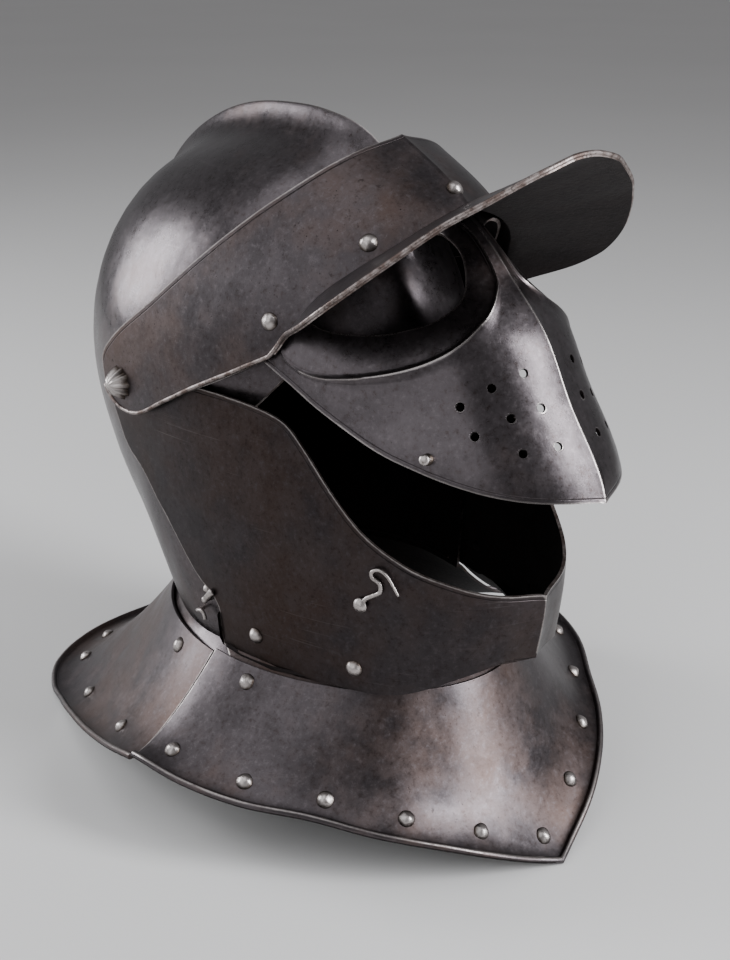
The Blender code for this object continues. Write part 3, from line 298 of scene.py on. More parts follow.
def curve_value(table, x):
    """A smooth curve through the table's (x, y) pairs, read at x."""
    xs = [row[0] for row in table]
    ys = [row[1] for row in table]
    last = len(xs) - 1
    if x <= xs[0]:
        return ys[0]
    if x >= xs[last]:
        return ys[last]

    def slope(i):
        before, after = max(i - 1, 0), min(i + 1, last)
        return (ys[after] - ys[before]) / (xs[after] - xs[before])

    i = bisect_right(xs, x) - 1
    width = xs[i + 1] - xs[i]
    t = (x - xs[i]) / width
    rise = 3 * t * t - 2 * t ** 3
    start = (t ** 3 - 2 * t * t + t) * width * slope(i)
    end = (t ** 3 - t * t) * width * slope(i + 1)
    return ys[i] * (1 - rise) + ys[i + 1] * rise + start + end


class Dome:
    """The outer face of a plate that turns about the rosettes' axis."""

    def __init__(self, half_width, reach, profile, medial=None, arm=None, fullness=((-180, 2), (180, 2)),
                 keel=0):
        self.half_width = half_width
        self.reach = reach
        self.profile = profile
        self.medial = medial or profile
        self.arm = arm or profile
        self.fullness = fullness
        self.keel = keel

    def point(self, angle, turn, side, sink=0):
        """A place on the plate, or sink below it."""
        wrapped = (angle + 180) % 360 - 180
        power = 2 / curve_value(self.fullness, wrapped)
        radius = self.reach * curve_value(self.profile, wrapped)
        medial = self.reach * curve_value(self.medial, wrapped)
        arm = self.reach * curve_value(self.arm, wrapped)
        radius += (medial - radius) * smooth((turn - 32) / 35) + (arm - radius) * smooth((38 - turn) / 14)
        across = max(cos(radians(turn)), 0) ** power
        aside = (self.half_width - sink) * across
        out = (radius - sink) * sin(radians(turn)) ** power
        crisp = 2.3 * exp(-aside / KEEL_SPREAD / 1.1) - 1.3 * exp(-(aside / KEEL_SPREAD / 2.2) ** 2)
        out += self.keel * crisp * smooth((turn - 50) / 30)
        return place(out * cos(radians(angle)), out * sin(radians(angle)), side * aside)

    def outward(self, angle, turn, side):
        """The plate's outward direction at a place."""
        if turn >= MEDIAL:
            return ray(angle)
        step = 0.4
        along = self.point(angle + step, turn, side) - self.point(angle - step, turn, side)
        aside = self.point(angle, turn + step, side) - self.point(angle, turn - step, side)
        normal = along.cross(aside).normalized()
        here = self.point(angle, turn, side) - place(0, 0, 0)
        return normal if normal.dot(here) > 0 else -normal


def place(forward, up, aside):
    """A place given from the middle of the rosettes' axis."""
    return Vector((aside, PIVOT_BACK - forward, PIVOT_HEIGHT + up))


def ray(angle):
    """The direction away from the rosettes' axis at an angle, in the medial plane."""
    return Vector((0, -cos(radians(angle)), sin(radians(angle))))


BEVOR_HALF_WIDTH = SKULL_HALF_WIDTH + LAYER_GAP + PLATE_WALL
VISOR_HALF_WIDTH = BEVOR_HALF_WIDTH + LAYER_GAP + PLATE_WALL
PEAK_HALF_WIDTH = VISOR_HALF_WIDTH + LAYER_GAP + PLATE_WALL

SKULL = Dome(
    SKULL_HALF_WIDTH,
    SKULL_RADIUS,
    ((-180, 0.895), (-160, 0.9), (-140, 0.94), (-125, 1.02), (-115, 1.08), (-106, 1.15), (-98, 1.27),
     (-90, 1.47), (-80, 1.85), (-69, 2.35), (-55, 2.1), (-40, 1.7), (-30, 1.45), (-15, 1.23), (0, 1.1),
     (15, 1.145), (27, 1.15), (45, 1.137), (57, 1.113), (67, 1.06), (80, 1), (96, 0.957), (115, 0.952),
     (135, 0.935), (155, 0.915), (180, 0.895)),
    fullness=((-180, 2), (-125, 2), (-108, 2.08), (-95, 2.2), (-80, 2.4), (-68, 2.5), (-30, 2.45), (0, 2.1),
              (27, 2), (180, 2)),
)
COMB = ((-170, 0), (-150, 0), (31, 0), (40, 0.55), (49, 0.97), (60, 1), (80, 0.92), (96, 0.88), (113, 0.66),
        (134, 0.52), (155, 0.3), (172, 0.05), (180, 0))
BEVOR = Dome(
    BEVOR_HALF_WIDTH,
    BEVOR_REACH,
    ((-180, 0.83), (-120, 1), (-90, 1.36), (-66, 1.45), (-60, 1.4), (-45, 1.157), (-33, 1.022), (-28.4, 0.99),
     (-20, 0.948), (-16, 0.92), (-12, 0.868), (-7, 0.81), (0, 0.76), (9, 0.728), (30, 0.722), (90, 0.72),
     (180, 0.72)),
    fullness=((-180, 2), (-90, 2.3), (-50, 2.3), (-28, 2.1), (-15, 2), (180, 2)),
    keel=BEVOR_KEEL,
)
VISOR = Dome(
    VISOR_HALF_WIDTH,
    VISOR_REACH,
    ((-180, 0.68), (-30, 1), (-4, 0.952), (5, 0.848), (12, 0.778), (17.4, 0.739), (26, 0.714), (33, 0.7),
     (38, 0.7), (60, 0.68), (180, 0.68)),
    medial=((-180, 0.68), (-30, 1.04), (-20, 1.028), (-4.2, 0.995), (5.8, 0.901), (14.2, 0.854), (21.5, 0.8),
            (26, 0.776), (30, 0.752), (34, 0.722), (38, 0.704), (60, 0.68), (180, 0.68)),
    arm=((-180, 0.64), (-90, 0.64), (-30, 0.69), (0, 0.735), (17.4, 0.738), (26, 0.718), (38, 0.69),
         (49.7, 0.675), (70, 0.65), (110, 0.64), (180, 0.64)),
    keel=VISOR_KEEL,
)
PEAK = Dome(
    PEAK_HALF_WIDTH,
    PEAK_REACH,
    ((-180, 0.85), (-90, 0.85), (-30, 0.91), (0, 0.98), (20, 1.01), (32, 0.992), (49.7, 0.9), (70, 0.86),
     (110, 0.85), (180, 0.85)),
    keel=PEAK_KEEL,
)


class Wire:
    """A node's output. Arithmetic on it adds Math nodes to the same finish."""

    def __init__(self, finish, socket):
        self.finish = finish
        self.socket = socket

    def maths(self, operation, *values):
        return self.finish.node("ShaderNodeMath", {"operation": operation}, dict(enumerate(values)))

    def __add__(self, other):
        return self.maths("ADD", self, other)

    def __radd__(self, other):
        return self.maths("ADD", other, self)

    def __sub__(self, other):
        return self.maths("SUBTRACT", self, other)

    def __rsub__(self, other):
        return self.maths("SUBTRACT", other, self)

    def __mul__(self, other):
        return self.maths("MULTIPLY", self, other)

    def __rmul__(self, other):
        return self.maths("MULTIPLY", other, self)

    def __pow__(self, other):
        return self.maths("POWER", self, other)


class Finish:
    """One material and the nodes that make it."""

    def __init__(self, name):
        self.material = bpy.data.materials.new(name)
        self.material.use_nodes = True
        self.tree = self.material.node_tree
        self.shader = self.tree.nodes["Principled BSDF"]

    def node(self, kind, settings=None, values=None, output=0):
        """Adds a node: its settings first, then the values or links of its sockets."""
        node = self.tree.nodes.new(kind)
        for key, setting in (settings or {}).items():
            if key == "stops":
                while len(node.color_ramp.elements) < len(setting):
                    node.color_ramp.elements.new(0.5)
                for element, (at, level) in zip(node.color_ramp.elements, setting):
                    element.position = at
                    element.color = (level, level, level, 1)
            else:
                setattr(node, key, setting)
        for socket, value in (values or {}).items():
            self.join(node.inputs[socket], value)
        return Wire(self, node.outputs[output])

    def join(self, socket, value):
        if isinstance(value, Wire):
            self.tree.links.new(value.socket, socket)
        else:
            socket.default_value = value

    def shade(self, **values):
        for name, value in values.items():
            self.join(self.shader.inputs[name.replace("_", " ")], value)

    def where(self, shift=(0, 0, 0), stretch=(1, 1, 1), turn=(0, 0, 0)):
        """Places on the piece in metres, shifted, turned and stretched."""
        here = self.node("ShaderNodeTexCoord", output="Object")
        return self.node("ShaderNodeMapping", {},
                         {"Vector": here, "Location": shift, "Rotation": turn, "Scale": stretch})

    def noise(self, at, scale, detail=3, rough=0.55):
        return self.node("ShaderNodeTexNoise", {},
                         {"Vector": at, "Scale": scale, "Detail": detail, "Roughness": rough})

    def cells(self, at, scale, feature="F1"):
        return self.node("ShaderNodeTexVoronoi", {"feature": feature}, {"Vector": at, "Scale": scale})

    def span(self, value, low, high, start=0, end=1):
        """A value's run from low to high, turned smoothly into start to end."""
        return self.node("ShaderNodeMapRange", {"interpolation_type": "SMOOTHSTEP"},
                         {"Value": value, 1: low, 2: high, 3: start, 4: end})

    def mark(self, name):
        """A number that the mesh carries at each of its points."""
        return self.node("ShaderNodeAttribute", {"attribute_name": name}, output="Fac")

    def mix(self, share, one, other):
        """One colour turning into another."""
        one = one if isinstance(one, Wire) else (*one, 1)
        other = other if isinstance(other, Wire) else (*other, 1)
        return self.node("ShaderNodeMix", {"data_type": "RGBA"}, {0: share, 6: one, 7: other}, 2)

    def relief(self, height, depth):
        return self.node("ShaderNodeBump", {}, {"Strength": 1, "Distance": depth, "Height": height})


def scaled(colour, share):
    return tuple(share * part for part in colour)


def scratches(finish, seed, turn, amount):
    """Fine stray lines that all run much the same way."""
    at = finish.where((seed, 0, seed), (14, 14, 900), turn)
    lines = finish.noise(at, 1, 2, 0.6)
    patches = finish.noise(finish.where((0, seed, 0)), 22, 2)
    return finish.span(lines, 0.66, 0.74) * finish.span(patches, 0.5, 0.66) * amount


def old_steel(name, seed, tone=1, brown=0.5, pits=0.4, gloss=0.33, border=False, scratch=0.1):
    """Blackened steel, browned in clouds, pitted, scratched, and worn bright along its edges."""
    finish = Finish(name)
    at = finish.where((seed, -seed, seed))
    clouds = finish.noise(at, 11, 4, 0.6)
    mottle = finish.noise(at, 62, 5, 0.62)
    grain = finish.noise(at, 900, 3, 0.65)
    speckle = finish.noise(at, 330, 4, 0.75)
    dents = finish.noise(at, 36, 2, 0.5)
    specks = finish.span(finish.cells(at, 330), 0.16, 0.05) * finish.span(mottle, 0.48, 0.62) * pits
    freckles = finish.span(finish.noise(at, 230, 4, 0.7), 0.6, 0.72) * pits
    lines = scratches(finish, seed, (0.4, 0.5, 0.2), scratch)
    lines = lines + scratches(finish, seed + 3, (1.2, -0.4, 0.9), scratch)
    wear = finish.span(finish.mark("edge") + (mottle - 0.5) * 1.2 + (speckle - 0.5) * 1.4, 1.0, 0.1) * 0.55
    patina = finish.span(clouds * 0.7 + mottle * 0.3, 0.62 - 0.3 * brown, 0.82 - 0.3 * brown)
    colour = finish.mix(patina, scaled(DARK, tone), scaled(BROWN, tone))
    colour = finish.mix(finish.span(mottle, 0.35, 0.7, 0, 0.35), colour, scaled(DARK, 1.8 * tone))
    colour = finish.mix(finish.span(speckle, 0.5, 0.75, 0, 0.5), colour, scaled(DARK, 2.2 * tone))
    colour = finish.mix(finish.span(speckle, 0.48, 0.3, 0, 0.5), colour, scaled(BROWN, 0.4 * tone))
    colour = finish.mix(specks + freckles * 0.6, colour, (0.018, 0.014, 0.012))
    colour = finish.mix(lines * 0.5, colour, BARE)
    rough = gloss + patina * 0.1 + (grain - 0.5) * 0.12 + (mottle - 0.5) * 0.14 + (speckle - 0.5) * 0.12
    rough = rough + specks * 0.3 + freckles * 0.2
    height = (grain - 0.5) * 0.05 + (speckle - 0.5) * 0.05 + (dents - 0.5) * 1.6
    height = height - specks * 0.25 - freckles * 0.12 - lines * 0.1
    if border:
        away = finish.mark("border")
        groove = finish.span(away, border - 0.45, border) * finish.span(away, border + 0.45, border)
        colour = finish.mix(groove * 0.75, colour, (0.012, 0.01, 0.01))
        height = height - groove * 0.5
    colour = finish.mix(wear, colour, BARE)
    finish.shade(Base_Color=colour, Metallic=1.0, Roughness=rough - wear * 0.05,
                 Normal=finish.relief(height, 0.4 * MM))
    return finish.material


def filed_edge(name):
    """The plates' own thickness, filed and worn to bare steel."""
    finish = Finish(name)
    at = finish.where()
    mottle = finish.noise(at, 160, 4, 0.6)
    grain = finish.noise(at, 1300, 3, 0.6)
    breaks = finish.noise(at, 480, 3, 0.7)
    colour = finish.mix(finish.span(mottle, 0.36, 0.62), (0.3, 0.262, 0.25), (0.12, 0.088, 0.078))
    colour = finish.mix(finish.span(breaks, 0.5, 0.66) * 0.75, colour, (0.045, 0.034, 0.03))
    finish.shade(Base_Color=colour, Metallic=1.0, Roughness=0.36 + mottle * 0.2,
                 Normal=finish.relief(mottle + grain * 0.3, 0.15 * MM))
    return finish.material


def painted_shade_inside(name):
    """The plates' inner faces and undersides: painted shade, near black and rough, for the dark inside and
    under the helmet.
    """
    finish = Finish(name)
    at = finish.where()
    mottle = finish.noise(at, 70, 5, 0.65)
    scale = finish.noise(at, 420, 4, 0.7)
    colour = finish.mix(mottle, (0.006, 0.005, 0.006), (0.024, 0.018, 0.017))
    finish.shade(Base_Color=colour, Metallic=0.9, Roughness=0.6 + scale * 0.2,
                 Normal=finish.relief(scale + mottle, 0.25 * MM))
    return finish.material


def bright_fitting(name, tone=1, seed=0):
    """Rivets and fittings, rubbed bright on their crowns and dark low down."""
    finish = Finish(name)
    at = finish.where((seed, seed, 0))
    mottle = finish.noise(at, 260, 4, 0.65)
    grain = finish.noise(at, 1500, 3, 0.6)
    crown = finish.span(finish.mark("crown") + (mottle - 0.5) * 0.8, 0.05, 0.75)
    colour = finish.mix(crown, (0.06, 0.046, 0.038), scaled(BARE, tone))
    colour = finish.mix(finish.span(mottle, 0.56, 0.7) * 0.6, colour, (0.07, 0.055, 0.045))
    finish.shade(Base_Color=colour, Metallic=1.0, Roughness=0.34 + mottle * 0.2 - crown * 0.08,
                 Normal=finish.relief(mottle + grain * 0.2, 0.3 * MM))
    return finish.material


def pale_floor(name):
    """A pale, even studio floor."""
    finish = Finish(name)
    at = finish.where()
    grain = finish.noise(at, 300, 3, 0.6)
    colour = finish.mix(finish.noise(at, 1.5, 2, 0.5), (0.62, 0.61, 0.6), (0.66, 0.65, 0.64))
    finish.shade(Base_Color=colour, Roughness=0.85 + grain * 0.1, Normal=finish.relief(grain, 0.05 * MM))
    return finish.material


def chart(spot):
    """An (angle, turn) spot laid flat, with the rosette in the middle."""
    angle, turn = spot
    return turn * cos(radians(angle)), turn * sin(radians(angle))


def outline(spots, pieces):
    """Evenly spaced spots on a smooth line through the given ones, from their last to their first."""
    spots = spots[::-1]
    flat = [chart(spot) for spot in spots]
    run = [0]
    for before, after in zip(flat, flat[1:]):
        run.append(run[-1] + hypot(after[0] - before[0], after[1] - before[1]))
    unwound = [spots[0][0]]
    for angle, _ in spots[1:]:
        unwound.append(unwound[-1] + (angle - unwound[-1] + 180) % 360 - 180)
    found = []
    for k in range(pieces + 1):
        at = run[-1] * k / pieces
        angle = curve_value(list(zip(run, unwound)), at)
        turn = curve_value(list(zip(run, (spot[1] for spot in spots))), at)
        found.append((angle, turn))
    return found


def between(one, other, share):
    """A spot a share of the way from one to the other, kept on the medial line where both are."""
    x0, y0 = chart(one)
    x1, y1 = chart(other)
    x, y = x0 + (x1 - x0) * share, y0 + (y1 - y0) * share
    straight = hypot(x, y)
    even = one[1] + (other[1] - one[1]) * share
    keep = smooth((min(one[1], other[1]) - 35) / 35)
    return degrees(atan2(y, x)), straight + (even - straight) * keep


def both_sides(half_row):
    """A row of (right-hand point, left-hand point) pairs from the arm to the medial line, made whole."""
    right = [pair[0] for pair in half_row]
    left = [pair[1] for pair in half_row[:-1]]
    return right + left[::-1]


def pair_on(dome, spot, sink=0):
    """A spot on the right and on the left of a plate."""
    return dome.point(*spot, -1, sink), dome.point(*spot, 1, sink)


def neck_spot(bearing, inset=0, lift=0):
    """A place on the neck line, inset towards the neck and lifted."""
    x = NECK_HALF_WIDTH * sin(radians(bearing))
    y = NECK_HALF_LENGTH * cos(radians(bearing))
    size = hypot(x, y)
    keep = (size - inset) / size
    return place(NECK_FORWARD + y * keep, NECK_HEIGHT - PIVOT_HEIGHT + lift, x * keep)


def gorget_spot(bearing, share, raise_by=0):
    """A place on the gorget's outer face: share 0 at the neck and 1 at the rim, on a hollow slope."""
    inner = neck_spot(bearing)
    aside = abs((bearing + 180) % 360 - 180)
    reach = GORGET_REACH * curve_value([row[:2] for row in GORGET_RIM], aside)
    height = SHOULDER_HEIGHT * curve_value([(row[0], row[2]) for row in GORGET_RIM], aside)
    rim = place(
        NECK_FORWARD + reach * cos(radians(bearing)),
        max(height, 0) + RIM_BEAD - PIVOT_HEIGHT,
        reach * sin(radians(bearing)),
    )
    spot = inner.lerp(rim, share)
    drop = 1 - (1 - share) ** GORGET_HOLLOW
    spot.z = inner.z + (rim.z - inner.z) * drop + raise_by * smooth(aside / 60)
    return spot


def gorget_outward(bearing, share):
    """The gorget's outward direction at a place."""
    step = 0.02
    low, high = max(share - step, 0), min(share + step, 1)
    down = gorget_spot(bearing, high) - gorget_spot(bearing, low)
    along = gorget_spot(bearing + 1, share) - gorget_spot(bearing - 1, share)
    normal = along.cross(down).normalized()
    return normal if normal.z > 0 else -normal


def under_gorget(bearing, reach, raise_by):
    """A place under the gorget, a reach down its slope from the neck line."""
    slope = gorget_spot(bearing, 1, raise_by) - gorget_spot(bearing, 0, raise_by)
    share = reach / slope.length
    return gorget_spot(bearing, share, raise_by) - gorget_outward(bearing, share) * FLANGE_DEPTH


def throat_spot(bearing, chin, level):
    """The bevor from the chin's edge in to the throat and out under the gorget, in four levels."""
    throat = neck_spot(bearing, THROAT_INSET, 4.5 * MM)
    if level == 0:
        return chin.lerp(throat, 0.55) + Vector((0, 0, -1.5 * MM))
    if level == 1:
        return throat
    return under_gorget(bearing, NECK_FLANGE * (level - 1.8) / 1.2, SEAM_LIFT)


def grid_faces(rows, columns, first=0):
    """Quads between the points of a grid that is stored row by row."""
    faces = []
    for row in range(rows - 1):
        for column in range(columns - 1):
            corner = first + row * columns + column
            faces.append((corner, corner + 1, corner + columns + 1, corner + columns))
    return faces


def through(knots, at):
    """A place on the smooth curve through some knots, which are numbered from 0."""
    return Vector([curve_value([(k, knot[axis]) for k, knot in enumerate(knots)], at) for axis in range(3)])


def new_object(name, mesh, materials):
    """A smoothly shaded object with a mesh and its materials."""
    for material in materials:
        mesh.materials.append(material)
    mesh.shade_smooth()
    thing = bpy.data.objects.new(name, mesh)
    bpy.context.scene.collection.objects.link(thing)
    return thing


def joined_mesh(name, points, faces):
    """A mesh whose coinciding points are joined and whose faces agree on an outside."""
    shape = bmesh.new()
    made = [shape.verts.new(point) for point in points]
    for face in faces:
        shape.faces.new([made[i] for i in face])
    bmesh.ops.remove_doubles(shape, verts=shape.verts, dist=JOIN_WITHIN)
    bmesh.ops.dissolve_degenerate(shape, edges=shape.edges, dist=JOIN_WITHIN)
    bmesh.ops.recalc_face_normals(shape, faces=shape.faces)
    closed = not any(edge.is_boundary for edge in shape.edges)
    if closed and shape.calc_volume(signed=True) < 0:
        bmesh.ops.reverse_faces(shape, faces=shape.faces)
    mesh = bpy.data.meshes.new(name)
    shape.to_mesh(mesh)
    shape.free()
    return mesh


def face_away(mesh, inside):
    """Turns a sheet's faces away from a place inside the helmet."""
    if sum((face.center - inside).dot(face.normal) * face.area for face in mesh.polygons) < 0:
        mesh.flip_normals()


def boundary_lines(mesh):
    """The edges that belong to one face only, as pairs of points."""
    uses = {}
    for face in mesh.polygons:
        for key in face.edge_keys:
            uses[key] = uses.get(key, 0) + 1
    return [[mesh.vertices[i].co.copy() for i in key] for key, count in uses.items() if count == 1]


def mark_distance(mesh, name, lines, step=0.3 * MM):
    """Stores how far each of a mesh's points is from some lines, in millimetres."""
    spots = []
    for line in lines:
        for one, other in zip(line, line[1:]):
            pieces = int((other - one).length / step) + 1
            spots.extend(one.lerp(other, k / pieces) for k in range(pieces + 1))
    tree = KDTree(len(spots))
    for k, spot in enumerate(spots):
        tree.insert(spot, k)
    tree.balance()
    layer = mesh.attributes.new(name, "FLOAT", "POINT")
    for k, vertex in enumerate(mesh.vertices):
        layer.data[k].value = tree.find(vertex.co)[2] / MM


def mark_crown(mesh, levels):
    """Stores how far up a fitting each of its points is, from 0 to 1."""
    layer = mesh.attributes.get("crown") or mesh.attributes.new("crown", "FLOAT", "POINT")
    for entry, level in zip(layer.data, levels):
        entry.value = level


def give_wall(thing, wall):
    """A sheet's wall, its rounded edges and the shading across them."""
    solid = thing.modifiers.new("wall", "SOLIDIFY")
    solid.thickness = wall
    solid.offset = -1
    # The wall's inner face takes the second material, the painted shade of the plates' insides.
    solid.material_offset = 1
    solid.material_offset_rim = 2
    round_edges(thing)


def round_edges(thing, width=EDGE_ROUNDING, segments=2):
    """Rounds a piece's sharp edges a little."""
    bevel = thing.modifiers.new("rounding", "BEVEL")
    bevel.width = width
    bevel.segments = segments
    bevel.limit_method = "ANGLE"
    bevel.angle_limit = radians(50)
    bevel.use_clamp_overlap = True
    even_shading(thing)


def even_shading(thing):
    """Lets a piece's large faces lead its shading."""
    normals = thing.modifiers.new("normals", "WEIGHTED_NORMAL")
    normals.keep_sharp = True


def cut_out(thing, cutter):
    """Cuts a hidden shape out of a piece and forgets the shape."""
    boolean = thing.modifiers.new("cut", "BOOLEAN")
    boolean.operation = "DIFFERENCE"
    boolean.solver = "EXACT"
    boolean.object = cutter
    scene = bpy.context.evaluated_depsgraph_get()
    mesh = bpy.data.meshes.new_from_object(thing.evaluated_get(scene), depsgraph=scene)
    thing.modifiers.clear()
    old = thing.data
    thing.data = mesh
    bpy.data.meshes.remove(old)
    bpy.data.objects.remove(cutter, do_unlink=True)


def dress(piece, node):
    """Puts a piece in a solid's place."""
    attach(piece, BODY_OF[node])
    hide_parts(node)
    return piece


def sheet(name, rows, inside, materials, crests=()):
    """A plate through rows of points: worn along its edges and crests, with a line along its first row."""
    mesh = joined_mesh(name, [point for row in rows for point in row], grid_faces(len(rows), len(rows[0])))
    face_away(mesh, inside)
    mark_distance(mesh, "edge", [*boundary_lines(mesh), *crests])
    mark_distance(mesh, "border", [rows[0]])
    plate = new_object(name, mesh, materials)
    give_wall(plate, PLATE_WALL)
    return plate


def row_shares(rows, near=0.6 * MM, width=110 * MM):
    """Shares across a plate, with a row close to each of its edges."""
    inner = near / width
    return [0, inner, *((k + 1) / rows for k in range(rows - 1)), 1 - inner, 1]


def make_skull(materials):
    """The bowl with its comb: two closed skins, from which the face and the neck are cut."""
    turns = [degrees(acos(min(aside * MM / SKULL_HALF_WIDTH, 1))) for aside in SKULL_ASIDES][::-1]
    points, faces = [], []
    for inner in (False, True):
        sink = SKULL_WALL if inner else 0
        first = len(points)
        for k in range(SKULL_SECTIONS):
            angle = -180 + 360 * k / SKULL_SECTIONS
            comb = COMB_HEIGHT * curve_value(COMB, angle)
            spread = COMB_SPREAD * (0.6 if inner else 1)
            row = []
            for turn in turns:
                pair = []
                for side in (-1, 1):
                    spot = SKULL.point(angle, turn, side, sink)
                    crest = max(comb - 2 * sink, 0)
                    crest *= exp((0.9 * MM - hypot(spot.x, 0.9 * MM)) / spread) * smooth((turn - 65) / 15)
                    pair.append(spot + ray(angle) * crest)
                row.append(pair)
            points.extend(both_sides(row))
        width = 2 * len(turns) - 1
        for k in range(SKULL_SECTIONS):
            here, there = first + k * width, first + (k + 1) % SKULL_SECTIONS * width
            for c in range(width - 1):
                face = (here + c, here + c + 1, there + c + 1, there + c)
                faces.append(face[::-1] if inner else face)
    shape = bmesh.new()
    made = [shape.verts.new(point) for point in points]
    # The inner skin's faces take the second material, painted shade.
    half = len(faces) // 2
    for number, face in enumerate(faces):
        shape.faces.new([made[i] for i in face]).material_index = int(number >= half)
    bmesh.ops.remove_doubles(shape, verts=shape.verts, dist=JOIN_WITHIN)
    bmesh.ops.dissolve_degenerate(shape, edges=shape.edges, dist=JOIN_WITHIN)
    mesh = bpy.data.meshes.new("skull_bowl")
    shape.to_mesh(mesh)
    shape.free()
    crown = max(mesh.polygons, key=lambda face: face.center.z)
    if crown.normal.z < 0:
        mesh.flip_normals()
    crest = []
    for k in range(121):
        angle = 40 + 115 * k / 120
        crest.append(SKULL.point(angle, MEDIAL, 1) + ray(angle) * COMB_HEIGHT * curve_value(COMB, angle))
    mark_distance(mesh, "edge", [crest])
    skull = new_object("skull_bowl", mesh, materials)
    edge = [(f * SKULL_RADIUS, u * SKULL_RADIUS) for f, u in FACE_EDGE]
    far = 4 * SKULL_RADIUS
    face = [(far, edge[0][1]), *edge, (edge[-1][0], -far), (far, -far)]
    cut_out(skull, prism("face_cutter", face, far, materials))
    top = NECK_HEIGHT - PIVOT_HEIGHT + MM
    neck = [(-far, top), (far, top), (far, -far), (-far, -far)]
    cut_out(skull, prism("neck_cutter", neck, far, materials))
    round_edges(skull)
    return dress(skull, "skull")


def prism(name, side_view, half_width, materials):
    """A closed block with an outline given in the side view, whose cuts are bare edges."""
    count = len(side_view)
    points = [place(f, u, side * half_width) for side in (-1, 1) for f, u in side_view]
    faces = [tuple(range(count)), tuple(range(2 * count - 1, count - 1, -1))]
    for k in range(count):
        after = (k + 1) % count
        faces.append((k, after, count + after, count + k))
    block = new_object(name, joined_mesh(name, points, faces), materials)
    for face in block.data.polygons:
        face.material_index = 2
    return block


def make_neck_flange(materials):
    """The flange that the skull turns out under the rear gorget plate."""
    start, pieces = SEAM_BEARING - 3, 120
    tree = TREES["skull"]
    middle = place(NECK_FORWARD, NECK_HEIGHT - PIVOT_HEIGHT + 3.5 * MM, 0)
    rows = [[], [], [], [], []]
    for k in range(pieces + 1):
        bearing = start + (360 - 2 * start) * k / pieces
        goal = neck_spot(bearing) - neck_spot(bearing, 10 * MM)
        away = Vector((goal.x, goal.y, 0)).normalized()
        hit = tree.ray_cast(middle, away)[0]
        root = (hit if hit else neck_spot(bearing, 4 * MM, 3 * MM)) + away * SKULL_WALL * 0.8
        knots = [root + Vector((0, 0, 2 * MM)), root, under_gorget(bearing, 1.5 * MM, 0),
                 under_gorget(bearing, NECK_FLANGE, 0)]
        for r, row in enumerate(rows):
            row.append(through(knots, 3 * r / (len(rows) - 1)))
    points = [point for row in rows for point in row]
    mesh = joined_mesh("skull_neck_flange", points, grid_faces(len(rows), pieces + 1))
    face_away(mesh, place(NECK_FORWARD, -PIVOT_HEIGHT, 0))
    mark_distance(mesh, "edge", [rows[-1]])
    flange = new_object("skull_neck_flange", mesh, materials)
    give_wall(flange, SKULL_WALL * 0.8)
    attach(flange, BODY_OF["skull"])


def make_bevor(materials):
    """Chin and cheeks, from the rim down to the chin's edge, in to the throat and out under the gorget."""
    front, arm = 8 * FINE, 8 * FINE
    rim = outline(BEVOR_RIM_ARM, arm)[:-1] + outline(BEVOR_RIM_FRONT, front)
    foot = outline(BEVOR_BACK, arm)[:-1] + outline(BEVOR_CHIN, front)
    rows = []
    for share in row_shares(PLATE_ROWS):
        rows.append([pair_on(BEVOR, between(a, b, share)) for a, b in zip(rim, foot)])
    chin = rows[-1]

    def throat_knots(column):
        """The chin's edge and the four levels below it, for the right and for the left."""
        bearing = SEAM_BEARING * (1 - max(column - arm, 0) / front)
        first = smooth(1 - (column - arm) / FINE)
        sides = []
        for side, own in zip((-1, 1), chin[max(column, arm)]):
            knots = [own]
            for level in range(4):
                spot = throat_spot(side * bearing, own, level)
                if level > 1:
                    spot = spot.lerp(knots[2] + Vector((0, 0, (1 - level) * 0.5 * MM)), first)
                knots.append(spot)
            sides.append(knots)
        return sides

    at_arm = throat_knots(arm)
    for k in range(1, THROAT_ROWS + 1):
        level = 4 * k / THROAT_ROWS
        row = []
        for column, pair in enumerate(chin):
            if column >= arm:
                row.append([through(knots, level) for knots in throat_knots(column)])
                continue
            share = max(column - arm + FINE, 0) / FINE
            row.append([own + (through(knots, level) - knots[0]) * share for own, knots in zip(pair, at_arm)])
        rows.append(row)
    whole = [both_sides(row) for row in rows]
    keel = [row[len(row) // 2] for row in whole[:PLATE_ROWS]]
    return dress(sheet("bevor_plate", whole, place(0, -0.05, 0), materials, [keel]), "bevor")


def knot_value(knots, at, corners=()):
    """An (angle, turn) spot on the closed smooth line through the knots, which breaks at its corners."""
    count = len(knots)
    i, t = int(at) % count, at - int(at)
    spots = []
    for axis in (0, 1):
        here, there = knots[i][axis], knots[(i + 1) % count][axis]
        before, after = knots[i - 1][axis], knots[(i + 2) % count][axis]
        start = there - here if i in corners else (there - before) / 2
        end = there - here if (i + 1) % count in corners else (after - here) / 2
        rise = 3 * t * t - 2 * t ** 3
        spot = here * (1 - rise) + there * rise
        spots.append(spot + (t ** 3 - 2 * t * t + t) * start + (t ** 3 - t * t) * end)
    return spots


